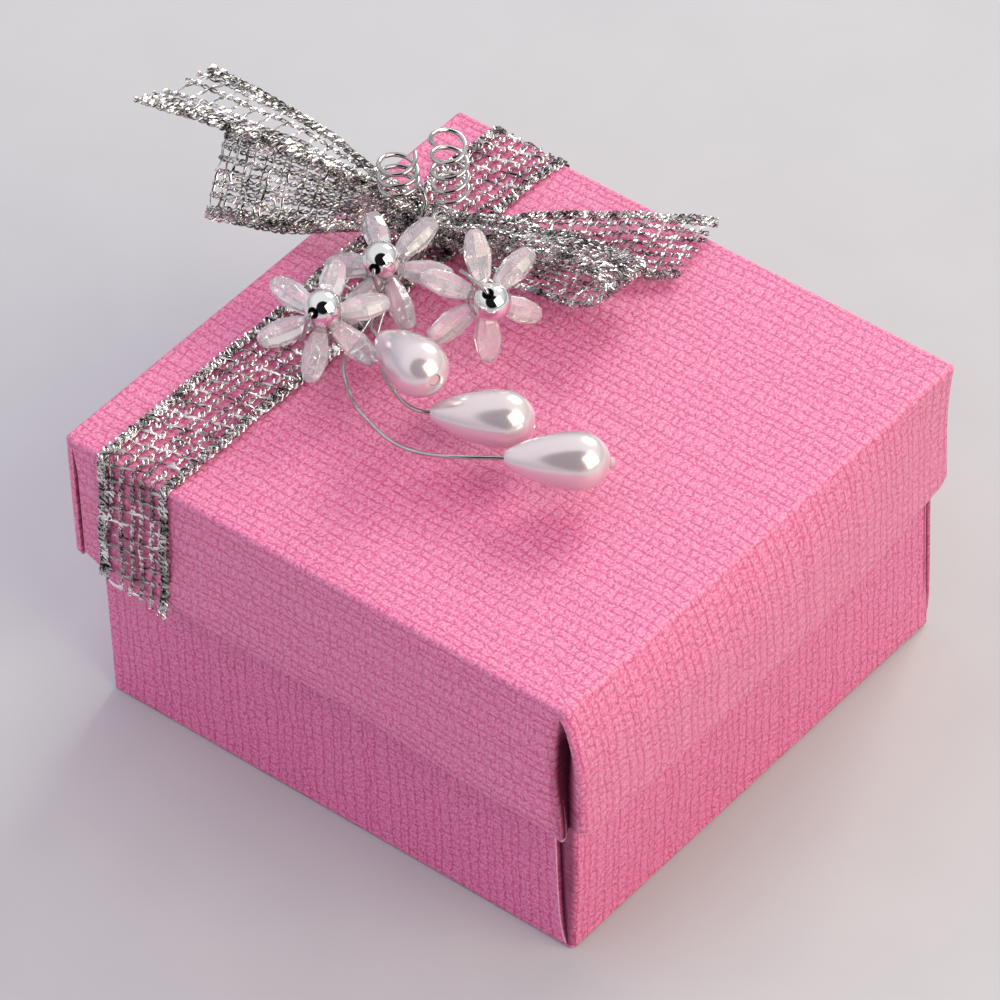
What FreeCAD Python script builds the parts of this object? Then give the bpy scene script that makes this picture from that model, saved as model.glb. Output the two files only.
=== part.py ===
"""Lidded card gift box: a folded tray and lift-off lid, a mesh ribbon with a bow, and a wired bead spray.

The origin is the middle of the tray's underside, +Z is up, and the ribbon's hanging end is on the -Y side.
"""
import FreeCAD, Part
import math
import os

import Sketcher

Vector = FreeCAD.Vector
UP = Vector(0, 0, 1)

# Driving sizes: millimetres, degrees and counts.
SIZES = {
    # Card tray and lid. Every wall is two plies: the outer one and the one rolled inside it.
    "lid_width": 70.0,
    "lid_depth": 67.5,
    "lid_skirt": 17.7,
    "box_height": 39.0,
    "card_ply": 0.5,
    "slip_gap": 1.0,
    "rim_gap": 0.1,
    "lid_fold": 0.9,
    "floor_fold": 0.6,
    "lid_seam": 1.1,
    "lid_corner_cut": 1.5,
    "tray_seam": 1.9,
    # Mesh ribbon laid over the lid.
    "ribbon_width": 10.2,
    "ribbon_ply": 0.35,
    "ribbon_lay": 0.05,
    "ribbon_inset": 5.2,
    "front_drop": 18.9,
    "back_drop": 18.0,
    "end_slant": 0.9,
    "selvedge": 1.2,
    "net_columns": 6,
    "warp": 0.45,
    "weft": 0.45,
    "weft_pitch": 2.2,
    # Bow, tied on the ribbon and stuck down with a dot of glue.
    "bow_from_back": 19.75,
    "bow_shift": 1.2,
    "glue_height": 0.8,
    "glue_diameter": 2.8,
    "knot_length": 5.2,
    "knot_depth": 4.4,
    "knot_height": 4.0,
    "pinch_gap": 0.05,
    "waist_width": 3.2,
    "left_loop_length": 23.8,
    "left_loop_opening": 4.6,
    "right_loop_length": 26.0,
    "right_loop_opening": 5.4,
    "right_loop_width": 9.2,
    "left_tail_length": 31.8,
    "left_tail_slant": 6.6,
    "right_tail_length": 30.3,
    "right_tail_slant": -4.2,
    # Wires of the spray.
    "wire": 0.45,
    "ring_wire": 0.35,
    "bundle_diameter": 1.75,
    "bundle_length": 3.9,
    "bundle_slope": 55.0,
    "bundle_lean": 25.0,
    "binding_turns": 3,
    "binding_pitch": 0.95,
    "wire_gap": 0.05,
    # Curled wire ends.
    "left_curl_radius": 2.15,
    "left_curl_turns": 3,
    "left_curl_height": 4.6,
    "right_curl_radius": 1.95,
    "right_curl_turns": 4,
    "right_curl_height": 8.4,
    # Bead flowers.
    "petals": 6,
    "petal_length": 6.4,
    "petal_belly": 3.0,
    "petal_width": 2.8,
    "petal_root": 1.0,
    "petal_tip": 1.15,
    "petal_sides": 8,
    "petal_gap": 0.2,
    "petal_droop": 9.0,
    "ring_inset": 0.75,
    "bead_diameter": 4.2,
    "bead_hole": 1.1,
    "bead_gap": 0.06,
    # Pearl drops.
    "pearl_length": 11.7,
    "pearl_diameter": 6.4,
    "pearl_tip": 1.2,
    "pearl_cup": 1.3,
    "pearl_cup_depth": 1.2,
    "glue_gap": 0.03,
}

# Where each flower's petal ring sits from the bow's knot, how it faces (azimuth and elevation of its axis)
# and how far its first petal is turned.
FLOWERS = {
    1: {"centre": (5.0, -23.0, 5.4), "azimuth": -46.0, "elevation": 68.7, "spin": 13.8},
    2: {"centre": (4.6, -11.9, 4.4), "azimuth": -83.0, "elevation": 62.0, "spin": 15.5},
    3: {"centre": (17.5, -10.6, 6.0), "azimuth": -25.6, "elevation": 25.9, "spin": 23.8},
}
# Places that each flower's wire passes, from the knot, between the bundle and the back of the flower.
FLOWER_ROUTES = {
    1: [(2.0, -8.4, -1.1), (3.3, -15.5, -1.3), (4.4, -21.0, 0.4)],
    2: [(2.9, -8.6, 0.3)],
    3: [(4.6, -7.0, 1.2), (10.6, -8.4, 2.6)],
}
# Places that each pearl's stem passes, from the knot; the last is the pearl's tip.
PEARL_ROUTES = {
    1: [(3.6, -9.6, -0.6), (6.4, -16.2, 0.9), (11.4, -21.2, 4.7)],
    2: [(3.2, -9.0, -1.3), (7.0, -16.6, -0.6), (9.6, -19.3, 0.0), (13.8, -23.1, 0.9), (21.4, -25.3, 2.2)],
    3: [(2.5, -8.8, -1.7), (4.6, -16.4, -1.9), (6.4, -21.4, -0.9), (9.6, -25.1, -0.2), (14.5, -28.2, 0.2),
        (22.9, -30.2, 1.2), (32.3, -26.2, 2.4)],
}
# Direction of each pearl from tip to fat end, and how far its glue stands out of its cup.
PEARL_HEADINGS = {1: (0.93, -0.31, 0.20), 2: (0.87, 0.49, 0.01), 3: (0.82, 0.58, -0.02)}
PEARL_GLUE_PROUD = {1: -0.2, 2: -0.1, 3: 0.6}
# Middle of each curl's first turn from the knot, and the compass angle where that turn starts.
CURLS = {
    "left": {"centre": (-1.8, -2.1, 5.5), "start": 60.0},
    "right": {"centre": (3.2, 0.8, 5.5), "start": 270.0},
}
# Ribbon ends of the bow: compass angle, rise and roll of each, with the near side of a tilted ribbon turned
# up by the roll, and how far a tail starts above the knot's middle and arches.
LOOP_POSES = {"left": (209.5, 11.6, -39.0), "right": (8.0, 8.4, 5.0)}
TAIL_POSES = {"left": (204.6, 28.2, 5.0, 1.3, 1.7), "right": (33.0, -3.9, -2.0, -1.9, 0.3)}
LOOP_START = 30.0
LOOP_STATIONS = 18
TAIL_STATIONS = 8
BUNDLE_AZIMUTH = -80.0
PETAL_STATIONS = 7
STRAIGHT_TURN = 1e-4

doc = FreeCAD.newDocument("gift_box")
sheet = doc.addObject("Spreadsheet::Sheet", "Sizes")
for row, (alias, value) in enumerate(SIZES.items(), 1):
    sheet.set(f"A{row}", alias)
    sheet.set(f"B{row}", str(value))
    sheet.setAlias(f"B{row}", alias)
doc.recompute()

nodes = []


def size(alias):
    """The value of a cell of the sheet."""
    return float(sheet.get(alias))


def keep(thing, label):
    """Give a finished sub-part its label and add it to the assembly."""
    thing.Label = label
    nodes.append(thing)
    return thing


def keep_shape(shape, label):
    """A sub-part whose shape is worked out here from the sheet's values."""
    feature = doc.addObject("Part::Feature", label)
    feature.Shape = shape
    return keep(feature, label)


def primitive(kind, name, sizes, base=None):
    """A Part primitive whose properties are bound to expressions, standing at the point base."""
    thing = doc.addObject(f"Part::{kind}", name)
    for prop, expression in sizes.items():
        thing.setExpression(prop, expression)
    if base:
        for axis, expression in zip("xyz", base):
            thing.setExpression(f"Placement.Base.{axis}", expression)
    return thing


def boolean(kind, name, base, tool):
    """A Part boolean of two objects."""
    thing = doc.addObject(f"Part::{kind}", name)
    thing.Base = base
    thing.Tool = tool
    return thing


def direction(azimuth, elevation):
    """Unit vector at a compass angle from +X towards +Y, raised by an elevation."""
    turn = math.radians(azimuth)
    rise = math.radians(elevation)
    return Vector(math.cos(turn) * math.cos(rise), math.sin(turn) * math.cos(rise), math.sin(rise))


def axes_placement(base, x_axis, z_axis):
    """Placement at base whose local X and Z run along the given perpendicular directions."""
    y_axis = z_axis.cross(x_axis)
    matrix = FreeCAD.Matrix(x_axis.x, y_axis.x, z_axis.x, base.x,
                            x_axis.y, y_axis.y, z_axis.y, base.y,
                            x_axis.z, y_axis.z, z_axis.z, base.z)
    return FreeCAD.Placement(matrix)


# Card tray and lid

def sketch_on(body, role, name, offset):
    """A sketch on one of the body's origin planes, moved along that plane's normal by an expression."""
    sketch = body.newObject("Sketcher::SketchObject", name)
    plane = next(item for item in body.Origin.OriginFeatures if item.Role == role)
    sketch.AttachmentSupport = [(plane, "")]
    sketch.MapMode = "FlatFace"
    sketch.setExpression("AttachmentOffset.Base.z", offset)
    return sketch


def draw_outline(sketch, corners):
    """Close a polygon; each corner is a pair of expressions measured from the sketch's origin."""
    places = [Vector(sheet.evalExpression(x), sheet.evalExpression(y), 0) for x, y in corners]
    first = sketch.GeometryCount
    count = len(places)
    for i in range(count):
        sketch.addGeometry(Part.LineSegment(places[i], places[(i + 1) % count]))
    for i in range(count):
        sketch.addConstraint(Sketcher.Constraint("Coincident", first + i, 2, first + (i + 1) % count, 1))
    for i, corner in enumerate(corners):
        for kind, value, expression in zip(("DistanceX", "DistanceY"), places[i], corner):
            index = sketch.addConstraint(Sketcher.Constraint(kind, -1, 1, first + i, 1, value))
            sketch.setExpression(f"Constraints[{index}]", expression)


def draw_rectangle(sketch, width, depth):
    """A rectangle centred on the sketch's origin."""
    draw_outline(sketch, [(f"-({width}) / 2", f"-({depth}) / 2"), (f"({width}) / 2", f"-({depth}) / 2"),
                          (f"({width}) / 2", f"({depth}) / 2"), (f"-({width}) / 2", f"({depth}) / 2")])


def extrude(body, kind, name, sketch, length, reverse=False):
    """A pad or pocket of a sketch over a length given as an expression."""
    feature = body.newObject(f"PartDesign::{kind}", name)
    feature.Profile = sketch
    feature.setExpression("Length", length)
    feature.Reversed = reverse
    doc.recompute()
    return feature


def round_level_edges(body, name, height, radius):
    """Fillet every edge that lies at one height."""
    solid = body.Tip
    level = sheet.evalExpression(height)
    edges = [f"Edge{i}" for i, edge in enumerate(solid.Shape.Edges, 1)
             if all(abs(corner.Z - level) < 1e-6 for corner in edge.Vertexes)]
    fillet = body.newObject("PartDesign::Fillet", name)
    fillet.Base = (solid, edges)
    fillet.setExpression("Radius", radius)
    doc.recompute()


def cut_corner_seams(body, name, depth, outlines):
    """Recess the front wall's outer ply at its corner seams, and mirror the recess on the back wall."""
    sketch = sketch_on(body, "XZ_Plane", f"{name}_outline", f"({depth}) / 2")
    for outline in outlines:
        draw_outline(sketch, outline)
    before = body.Tip.Shape.Volume
    front = extrude(body, "Pocket", name, sketch, "Sizes.card_ply")
    if front.Shape.Volume >= before:
        raise ValueError(f"{name} cuts nothing")
    mirror = body.newObject("PartDesign::Mirrored", f"{name}_back")
    mirror.Originals = [front]
    mirror.MirrorPlane = (next(i for i in body.Origin.OriginFeatures if i.Role == "XZ_Plane"), [""])
    body.Tip = mirror
    doc.recompute()


def card_shell(name, width, depth, low, high, open_below):
    """A folded card shell between two heights: walls of two plies and one panel, open at one end."""
    body = doc.addObject("PartDesign::Body", name)
    outer = sketch_on(body, "XY_Plane", f"{name}_outline", low)
    draw_rectangle(outer, width, depth)
    block = extrude(body, "Pad", f"{name}_block", outer, f"({high}) - ({low})")
    inner = sketch_on(body, "XY_Plane", f"{name}_hollow_outline", low if open_below else high)
    draw_rectangle(inner, f"({width}) - 4 * Sizes.card_ply", f"({depth}) - 4 * Sizes.card_ply")
    hollow = extrude(body, "Pocket", f"{name}_hollow", inner, f"({high}) - ({low}) - Sizes.card_ply", open_below)
    if hollow.Shape.Volume > block.Shape.Volume / 2:
        raise ValueError(f"{name} isn't hollow")
    return body


def make_lid():
    """The lid, with soft top folds and tapered seams at its four corners."""
    low = "Sizes.box_height - Sizes.lid_skirt"
    body = card_shell("lid", "Sizes.lid_width", "Sizes.lid_depth", low, "Sizes.box_height", True)
    round_level_edges(body, "lid_top_fold", "Sizes.box_height", "Sizes.lid_fold")
    outlines = []
    for side in ("", "-"):
        edge = f"{side}Sizes.lid_width / 2"
        seam = f"{side}(Sizes.lid_width / 2 - Sizes.lid_seam)"
        corner = f"{side}(Sizes.lid_width / 2 - Sizes.lid_seam - Sizes.lid_corner_cut)"
        outlines.append([(edge, "Sizes.box_height - Sizes.lid_fold"), (edge, low), (corner, low),
                         (seam, f"{low} + Sizes.lid_corner_cut")])
    cut_corner_seams(body, "lid_corner_seams", "Sizes.lid_depth", outlines)
    return keep(body, "lid")


def make_tray():
    """The tray, which fills the lid up to its underside, with straight seams at its corners."""
    side_step = "2 * (2 * Sizes.card_ply + Sizes.slip_gap)"
    width = f"(Sizes.lid_width - {side_step})"
    depth = f"(Sizes.lid_depth - {side_step})"
    high = "Sizes.box_height - Sizes.card_ply - Sizes.rim_gap"
    body = card_shell("base_tray", width, depth, "0", high, False)
    round_level_edges(body, "tray_floor_fold", "0", "Sizes.floor_fold")
    outlines = []
    for side in ("", "-"):
        edge = f"{side}{width} / 2"
        seam = f"{side}({width} / 2 - Sizes.tray_seam)"
        outlines.append([(edge, high), (edge, "Sizes.floor_fold"), (seam, "Sizes.floor_fold"), (seam, high)])
    cut_corner_seams(body, "tray_corner_seams", depth, outlines)
    return keep(body, "base_tray")


# Mesh ribbon

def net_plate(origin, across, along, length, slant, lift):
    """A flat run of ribbon: one face with a grid of gaps between warps and wefts, thickened along lift.

    Its far end is cut on a slant, longer by slant on the side that across points to.
    """
    width = size("ribbon_width")
    columns = int(size("net_columns"))
    gap_width = (width - 2 * size("selvedge") - (columns - 1) * size("warp")) / columns
    gap_length = size("weft_pitch") - size("weft")
    rows = int((length - abs(slant) - size("weft")) / size("weft_pitch"))
    margin = (length - abs(slant) - rows * size("weft_pitch") + size("weft")) / 2

    def loop(corners):
        places = [origin + across * u + along * v for u, v in corners]
        return Part.makePolygon(places + places[:1])

    wires = [loop([(0, 0), (width, 0), (width, length), (0, length - slant)])]
    for column in range(columns):
        left = size("selvedge") + column * (gap_width + size("warp"))
        for row in range(rows):
            near = margin + row * size("weft_pitch")
            wires.append(loop([(left, near), (left + gap_width, near), (left + gap_width, near + gap_length),
                               (left, near + gap_length)]))
    return Part.makeFace(wires, "Part::FaceMakerBullseye").extrude(lift * size("ribbon_ply"))


def ribbon_bend(left, side):
    """The quarter turn of ribbon over the lid's front or back fold; side is -1 in front and 1 behind."""
    inner = size("lid_fold") + size("ribbon_lay")
    centre = Vector(left, side * (size("lid_depth") / 2 - size("lid_fold")), size("box_height") - size("lid_fold"))
    outward = Vector(0, side, 0)
    middle = (outward + UP).normalize()
    edges = []
    for radius in (inner, inner + size("ribbon_ply")):
        arc = Part.Arc(centre + outward * radius, centre + middle * radius, centre + UP * radius)
        edges.append(arc.toShape())
    ends = [Part.LineSegment(centre + way * inner, centre + way * (inner + size("ribbon_ply"))).toShape()
            for way in (outward, UP)]
    face = Part.Face(Part.Wire(Part.__sortEdges__(edges + ends)))
    return face.extrude(Vector(size("ribbon_width"), 0, 0))


def make_ribbon_band():
    """The ribbon over the lid: a flat run, two bends and the hanging ends in front and behind."""
    left = -size("lid_width") / 2 + size("ribbon_inset")
    half_run = size("lid_depth") / 2 - size("lid_fold")
    side = size("lid_depth") / 2 + size("ribbon_lay")
    fold_height = size("box_height") - size("lid_fold")
    to_right = Vector(1, 0, 0)
    pieces = [
        net_plate(Vector(left, -half_run, size("box_height") + size("ribbon_lay")), to_right, Vector(0, 1, 0),
                  2 * half_run, 0, UP),
        net_plate(Vector(left, -side, fold_height), to_right, -UP, size("front_drop") - size("lid_fold"),
                  size("end_slant"), Vector(0, -1, 0)),
        net_plate(Vector(left, side, fold_height), to_right, -UP, size("back_drop") - size("lid_fold"),
                  size("end_slant"), Vector(0, 1, 0)),
        ribbon_bend(left, -1),
        ribbon_bend(left, 1),
    ]
    return keep_shape(pieces[0].fuse(pieces[1:]), "ribbon_band")


# Bow

band_top = size("box_height") + size("ribbon_lay") + size("ribbon_ply")
knot = Vector(-size("lid_width") / 2 + size("ribbon_inset") + size("ribbon_width") / 2 + size("bow_shift"),
              size("lid_depth") / 2 - size("bow_from_back"),
              band_top + size("glue_height") + size("knot_height") / 2)


def knot_form(gap):
    """The pinched middle of the bow, an egg-shaped lump, grown by a gap all round."""
    ball = Part.makeSphere(1.0)
    matrix = FreeCAD.Matrix()
    matrix.scale(size("knot_length") / 2 + gap, size("knot_depth") / 2 + gap, size("knot_height") / 2 + gap)
    lump = ball.transformGeometry(matrix)
    lump.translate(knot)
    return lump


def ribbon_axes(azimuth, elevation, roll):
    """Along, across and facing directions of a ribbon; across points to the front and is raised by the roll."""
    along = direction(azimuth, elevation)
    level = UP.cross(along).normalize()
    if level.y > 0:
        level = -level
    above = along.cross(level)
    if above.z < 0:
        above = -above
    turn = math.radians(roll)
    across = level * math.cos(turn) + above * math.sin(turn)
    facing = above * math.cos(turn) - level * math.sin(turn)
    return along, across, facing


def ease(share):
    """Smooth step from 0 to 1."""
    share = min(max(share, 0.0), 1.0)
    return share * share * (3 - 2 * share)


def strip_solid(centres, halves):
    """A thin strip lofted through cross sections: each has a centre and a half-width vector."""
    sections = []
    for i, (centre, half) in enumerate(zip(centres, halves)):
        before = centres[max(i - 1, 0)]
        after = centres[min(i + 1, len(centres) - 1)]
        thick = (after - before).cross(half).normalize() * (size("ribbon_ply") / 2)
        corners = [centre - half - thick, centre + half - thick, centre + half + thick, centre - half + thick]
        sections.append(Part.makePolygon(corners + corners[:1]))
    return Part.makeLoft(sections, True, True)


def make_bow_loop(side, length, opening, width):
    """A bow loop: the ribbon runs out along a teardrop, narrow at the knot and full at its fold.

    Along the loop x = length (1 - cos a) / 2 and y = opening / 2 sin a sin(a / 2), with a from 0 to a full turn.
    """
    along, across, facing = ribbon_axes(*LOOP_POSES[side])
    centres = []
    halves = []
    for i in range(LOOP_STATIONS + 1):
        angle = math.radians(LOOP_START + (360 - 2 * LOOP_START) * i / LOOP_STATIONS)
        reach = (1 - math.cos(angle)) / 2
        bulge = opening / 2 * math.sin(angle) * math.sin(angle / 2) / 0.77
        spread = size("waist_width") + (width - size("waist_width")) * ease(reach / 0.8)
        centres.append(knot + along * (length * reach) + facing * bulge)
        halves.append(across * (spread / 2))
    strip = strip_solid(centres, halves)
    return keep_shape(strip.cut(knot_form(size("pinch_gap"))), f"bow_{side}_loop")


def make_bow_tail(side, length, slant):
    """A bow tail: it fans out from the knot on a shallow arch and ends in a slanted cut."""
    azimuth, elevation, roll, start, arch = TAIL_POSES[side]
    along, across, facing = ribbon_axes(azimuth, elevation, roll)

    def place(reach):
        return knot + UP * (start * (1 - reach)) + along * (length * reach) + facing * (4 * arch * reach * (1 - reach))

    skew = slant / (2 * length)
    centres = []
    halves = []
    for i in range(TAIL_STATIONS + 1):
        reach = 0.05 + 0.95 * i / TAIL_STATIONS
        spread = size("waist_width") + (size("ribbon_width") - size("waist_width")) * ease(reach)
        near = place(reach * (1 + skew)) + across * (spread / 2)
        far = place(reach * (1 - skew)) - across * (spread / 2)
        centres.append((near + far) / 2)
        halves.append((near - far) / 2)
    strip = strip_solid(centres, halves)
    return keep_shape(strip.cut(knot_form(size("pinch_gap"))), f"bow_{side}_tail")


def make_bow():
    """Knot, the glue under it, two loops and two tails."""
    keep_shape(knot_form(0), "bow_knot")
    dot = Part.makeCylinder(size("glue_diameter") / 2, size("glue_height") + size("knot_height") / 2,
                            Vector(knot.x, knot.y, band_top), UP)
    keep_shape(dot.cut(knot_form(0)), "glue_dot")
    make_bow_loop("left", size("left_loop_length"), size("left_loop_opening"), size("ribbon_width"))
    make_bow_loop("right", size("right_loop_length"), size("right_loop_opening"), size("right_loop_width"))
    make_bow_tail("left", size("left_tail_length"), size("left_tail_slant"))
    make_bow_tail("right", size("right_tail_length"), size("right_tail_slant"))


# Wires

def arc_edges(start, heading, end):
    """The circular arc that leaves start along heading and reaches end, or a straight edge."""
    chord = end - start
    side = chord - heading * chord.dot(heading)
    if side.Length < STRAIGHT_TURN * chord.Length:
        return Part.LineSegment(start, end).toShape()
    radius = chord.Length ** 2 / (2 * side.Length)
    centre = start + side.normalize() * radius
    middle = (start + end) / 2 - centre
    return Part.Arc(start, centre + middle.normalize() * radius, end).toShape()


def biarc(start, heading, end, end_heading):
    """Two arcs that join two points smoothly, tangent to a heading at each."""
    chord = end - start
    total = heading + end_heading
    spread = 2 * (1 - heading.dot(end_heading))
    along = chord.dot(total)
    if spread < STRAIGHT_TURN:
        reach = chord.dot(chord) / (2 * along)
    else:
        reach = (math.sqrt(along ** 2 + spread * chord.dot(chord)) - along) / spread
    joint = (start + heading * reach + end - end_heading * reach) / 2
    joint_heading = (end - end_heading * reach - start - heading * reach).normalize()
    return [arc_edges(start, heading, joint), arc_edges(joint, joint_heading, end)]


def smooth_headings(places, first, last):
    """Headings along a route: the given ones at its ends, and between neighbours elsewhere."""
    inner = [(after - before).normalize() for before, after in zip(places, places[2:])]
    return [first] + inner + [last]


def tube(edges, diameter):
    """A round wire swept along a smooth chain of edges."""
    path = Part.Wire(edges)
    start = edges[0].valueAt(edges[0].FirstParameter)
    heading = edges[0].tangentAt(edges[0].FirstParameter)
    ring = Part.Wire(Part.Circle(start, heading, diameter / 2).toShape())
    wire = path.makePipeShell([ring], True, False)
    expected = math.pi * diameter ** 2 / 4 * path.Length
    if abs(wire.Volume / expected - 1) > 0.01:
        raise ValueError("a wire's volume doesn't match its length")
    return wire


def route_edges(places, first, last):
    """Biarcs through a route's places."""
    headings = smooth_headings(places, first, last)
    edges = []
    for i in range(len(places) - 1):
        edges += biarc(places[i], headings[i], places[i + 1], headings[i + 1])
    return edges


def helix_stations(centre, x_axis, y_axis, z_axis, radius, turns, height):
    """Places and headings every quarter turn of a helix whose climb is steady."""
    steps = int(round(turns * 4))
    rise = height / (2 * math.pi * turns)
    stations = []
    for i in range(steps + 1):
        angle = math.pi / 2 * i
        out = x_axis * math.cos(angle) + y_axis * math.sin(angle)
        round_way = y_axis * math.cos(angle) - x_axis * math.sin(angle)
        stations.append((centre + out * radius + z_axis * (rise * angle), (round_way * radius + z_axis * rise).normalize()))
    return stations


def chain(stations):
    """Biarcs through places with headings."""
    edges = []
    for (start, heading), (end, end_heading) in zip(stations, stations[1:]):
        edges += biarc(start, heading, end, end_heading)
    return edges


def print_self_gap(label, edges, diameter):
    """Print the least gap between one stretch of a wound wire and another, measured on points."""
    path = Part.Wire(edges)
    spacing = diameter / 3
    places = path.discretize(Distance=spacing)
    apart = int(4 * diameter / spacing)
    least = min((places[i] - places[j]).Length for i in range(len(places)) for j in range(i + apart, len(places)))
    print(f"{label}: least gap to itself {least - diameter:.2f} mm")


bundle_way = direction(BUNDLE_AZIMUTH, -size("bundle_slope"))
bundle_above = direction(BUNDLE_AZIMUTH, 90.0 - size("bundle_slope"))
bundle_side = bundle_above.cross(bundle_way)
bundle_lean = math.radians(size("bundle_lean"))
bundle_normal = bundle_above * math.cos(bundle_lean) + bundle_side * math.sin(bundle_lean)
binding_radius = size("bundle_diameter") / 2 + size("wire_gap") + size("wire") / 2
knot_support = math.sqrt(sum((bundle_normal[i] * size(alias) / 2) ** 2
                             for i, alias in enumerate(("knot_length", "knot_depth", "knot_height"))))
bundle_centre = knot + bundle_normal * (knot_support + binding_radius + size("wire") / 2 + size("wire_gap"))
bundle_front = bundle_centre + bundle_way * (size("bundle_length") / 2)
bundle_back = bundle_centre - bundle_way * (size("bundle_length") / 2)


def bundle_seat(end, angle):
    """A place on an end of the bundle where one wire leaves it."""
    circle = (size("bundle_diameter") - size("wire")) / 2 - size("wire_gap")
    turn = math.radians(angle)
    return end + bundle_side * (circle * math.cos(turn)) + bundle_above * (circle * math.sin(turn))


def make_bundle():
    """The twisted stems of the spray as one rod, wound with a short length of wire."""
    rod = Part.makeCylinder(size("bundle_diameter") / 2, size("bundle_length"), bundle_back, bundle_way)
    keep_shape(rod, "stem_bundle")
    height = size("binding_turns") * size("binding_pitch")
    start = bundle_centre - bundle_way * (height / 2)
    stations = helix_stations(start, bundle_side, bundle_way.cross(bundle_side), bundle_way, binding_radius,
                              size("binding_turns"), height)
    edges = chain(stations)
    print_self_gap("binding_wire", edges, size("wire"))
    keep_shape(tube(edges, size("wire")), "binding_wire")


def make_curl(side, angle):
    """A wire end that leaves the bundle's top and winds up into a standing curl."""
    curl = CURLS[side]
    start = math.radians(curl["start"])
    x_axis = Vector(math.cos(start), math.sin(start), 0)
    y_axis = UP.cross(x_axis)
    turns = size(f"{side}_curl_turns")
    stations = helix_stations(knot + Vector(*curl["centre"]), x_axis, y_axis, UP, size(f"{side}_curl_radius"), turns,
                              size(f"{side}_curl_height"))
    root = bundle_seat(bundle_back, angle)
    clear = root - bundle_way * size("wire")
    edges = [Part.LineSegment(root, clear).toShape()]
    edges += chain([(clear, -bundle_way)] + stations)
    print_self_gap(f"curl_{side}", edges, size("wire"))
    return keep_shape(tube(edges, size("wire")), f"curl_{side}")


# Bead flowers

petal_start = size("petal_root") + size("petal_gap")


def petal_radius(reach):
    """Half the petal's thickness at a distance from its inner end."""
    if reach < size("petal_belly"):
        swell = math.sin(math.pi / 2 * reach / size("petal_belly"))
        thickness = size("petal_root") + (size("petal_width") - size("petal_root")) * swell
    else:
        swell = math.cos(math.pi / 2 * (reach - size("petal_belly")) / (size("petal_length") - size("petal_belly")))
        thickness = size("petal_tip") + (size("petal_width") - size("petal_tip")) * swell
    return thickness / 2


def flower_axes(number):
    """Centre, axis and first in-plane direction of a flower."""
    flower = FLOWERS[number]
    axis = direction(flower["azimuth"], flower["elevation"])
    level = UP.cross(axis).normalize()
    turn = math.radians(flower["spin"])
    first = level * math.cos(turn) + axis.cross(level) * math.sin(turn)
    return knot + Vector(*flower["centre"]), axis, first


def petal_form(ring_radius, ring_drop):
    """A faceted petal along local X, drooped from the flower's plane, with its hole for the ring wire."""
    sides = int(size("petal_sides"))
    sections = []
    for i in range(PETAL_STATIONS):
        reach = size("petal_length") * i / (PETAL_STATIONS - 1)
        radius = petal_radius(reach)
        corners = [Vector(petal_start + reach, radius * math.cos(2 * math.pi * (k + 0.5) / sides),
                          radius * math.sin(2 * math.pi * (k + 0.5) / sides)) for k in range(sides)]
        sections.append(Part.makePolygon(corners + corners[:1]))
    petal = Part.makeLoft(sections, True, True)
    petal.rotate(Vector(), Vector(0, 1, 0), size("petal_droop"))
    tunnel = Part.makeTorus(ring_radius, size("ring_wire") / 2 + size("wire_gap"), Vector(0, 0, -ring_drop), UP)
    return petal.cut(tunnel)


def bead_height():
    """Height of the centre bead above the petal ring, where it sits in the cup of the petals."""
    ball = size("bead_diameter") / 2 + size("bead_gap")
    droop = math.radians(size("petal_droop"))
    heights = []
    for i in range(20):
        reach = size("petal_belly") * i / 20
        out = (petal_start + reach) * math.cos(droop) + petal_radius(reach) * math.sin(droop)
        top = petal_radius(reach) * math.cos(droop) - (petal_start + reach) * math.sin(droop)
        if out < ball:
            heights.append(top + math.sqrt(ball ** 2 - out ** 2))
    return max(heights)


def flower_wire_edges(number, seat, angle):
    """The wire from the bundle up through the flower and its bead, then over and back between two petals."""
    centre, axis, first = flower_axes(number)
    hook_turn = math.pi / size("petals")
    hook_way = first * math.cos(hook_turn) + axis.cross(first) * math.sin(hook_turn)
    ball = size("bead_diameter") / 2
    below = centre - axis * (size("petal_width") / 2 + size("wire"))
    above = centre + axis * (seat + ball - size("wire"))
    root = bundle_seat(bundle_front, angle)
    clear = root + bundle_way * size("wire")
    route = [clear] + [knot + Vector(*place) for place in FLOWER_ROUTES[number]] + [below]
    edges = [Part.LineSegment(root, clear).toShape()]
    edges += route_edges(route, bundle_way, axis)
    edges.append(Part.LineSegment(below, above).toShape())
    stand_off = ball + size("wire")
    shoulder = centre + axis * (seat + stand_off * math.cos(0.45)) + hook_way * (stand_off * math.sin(0.45))
    shoulder_way = hook_way * math.cos(0.45) - axis * math.sin(0.45)
    waist = centre + axis * seat + hook_way * stand_off
    gap_reach = petal_start + 0.75 * size("petal_belly")
    hem = centre + hook_way * gap_reach - axis * (size("petal_width") / 2)
    edges += chain([(above, axis), (shoulder, shoulder_way), (waist, -axis), (hem, -axis)])
    return edges


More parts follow.
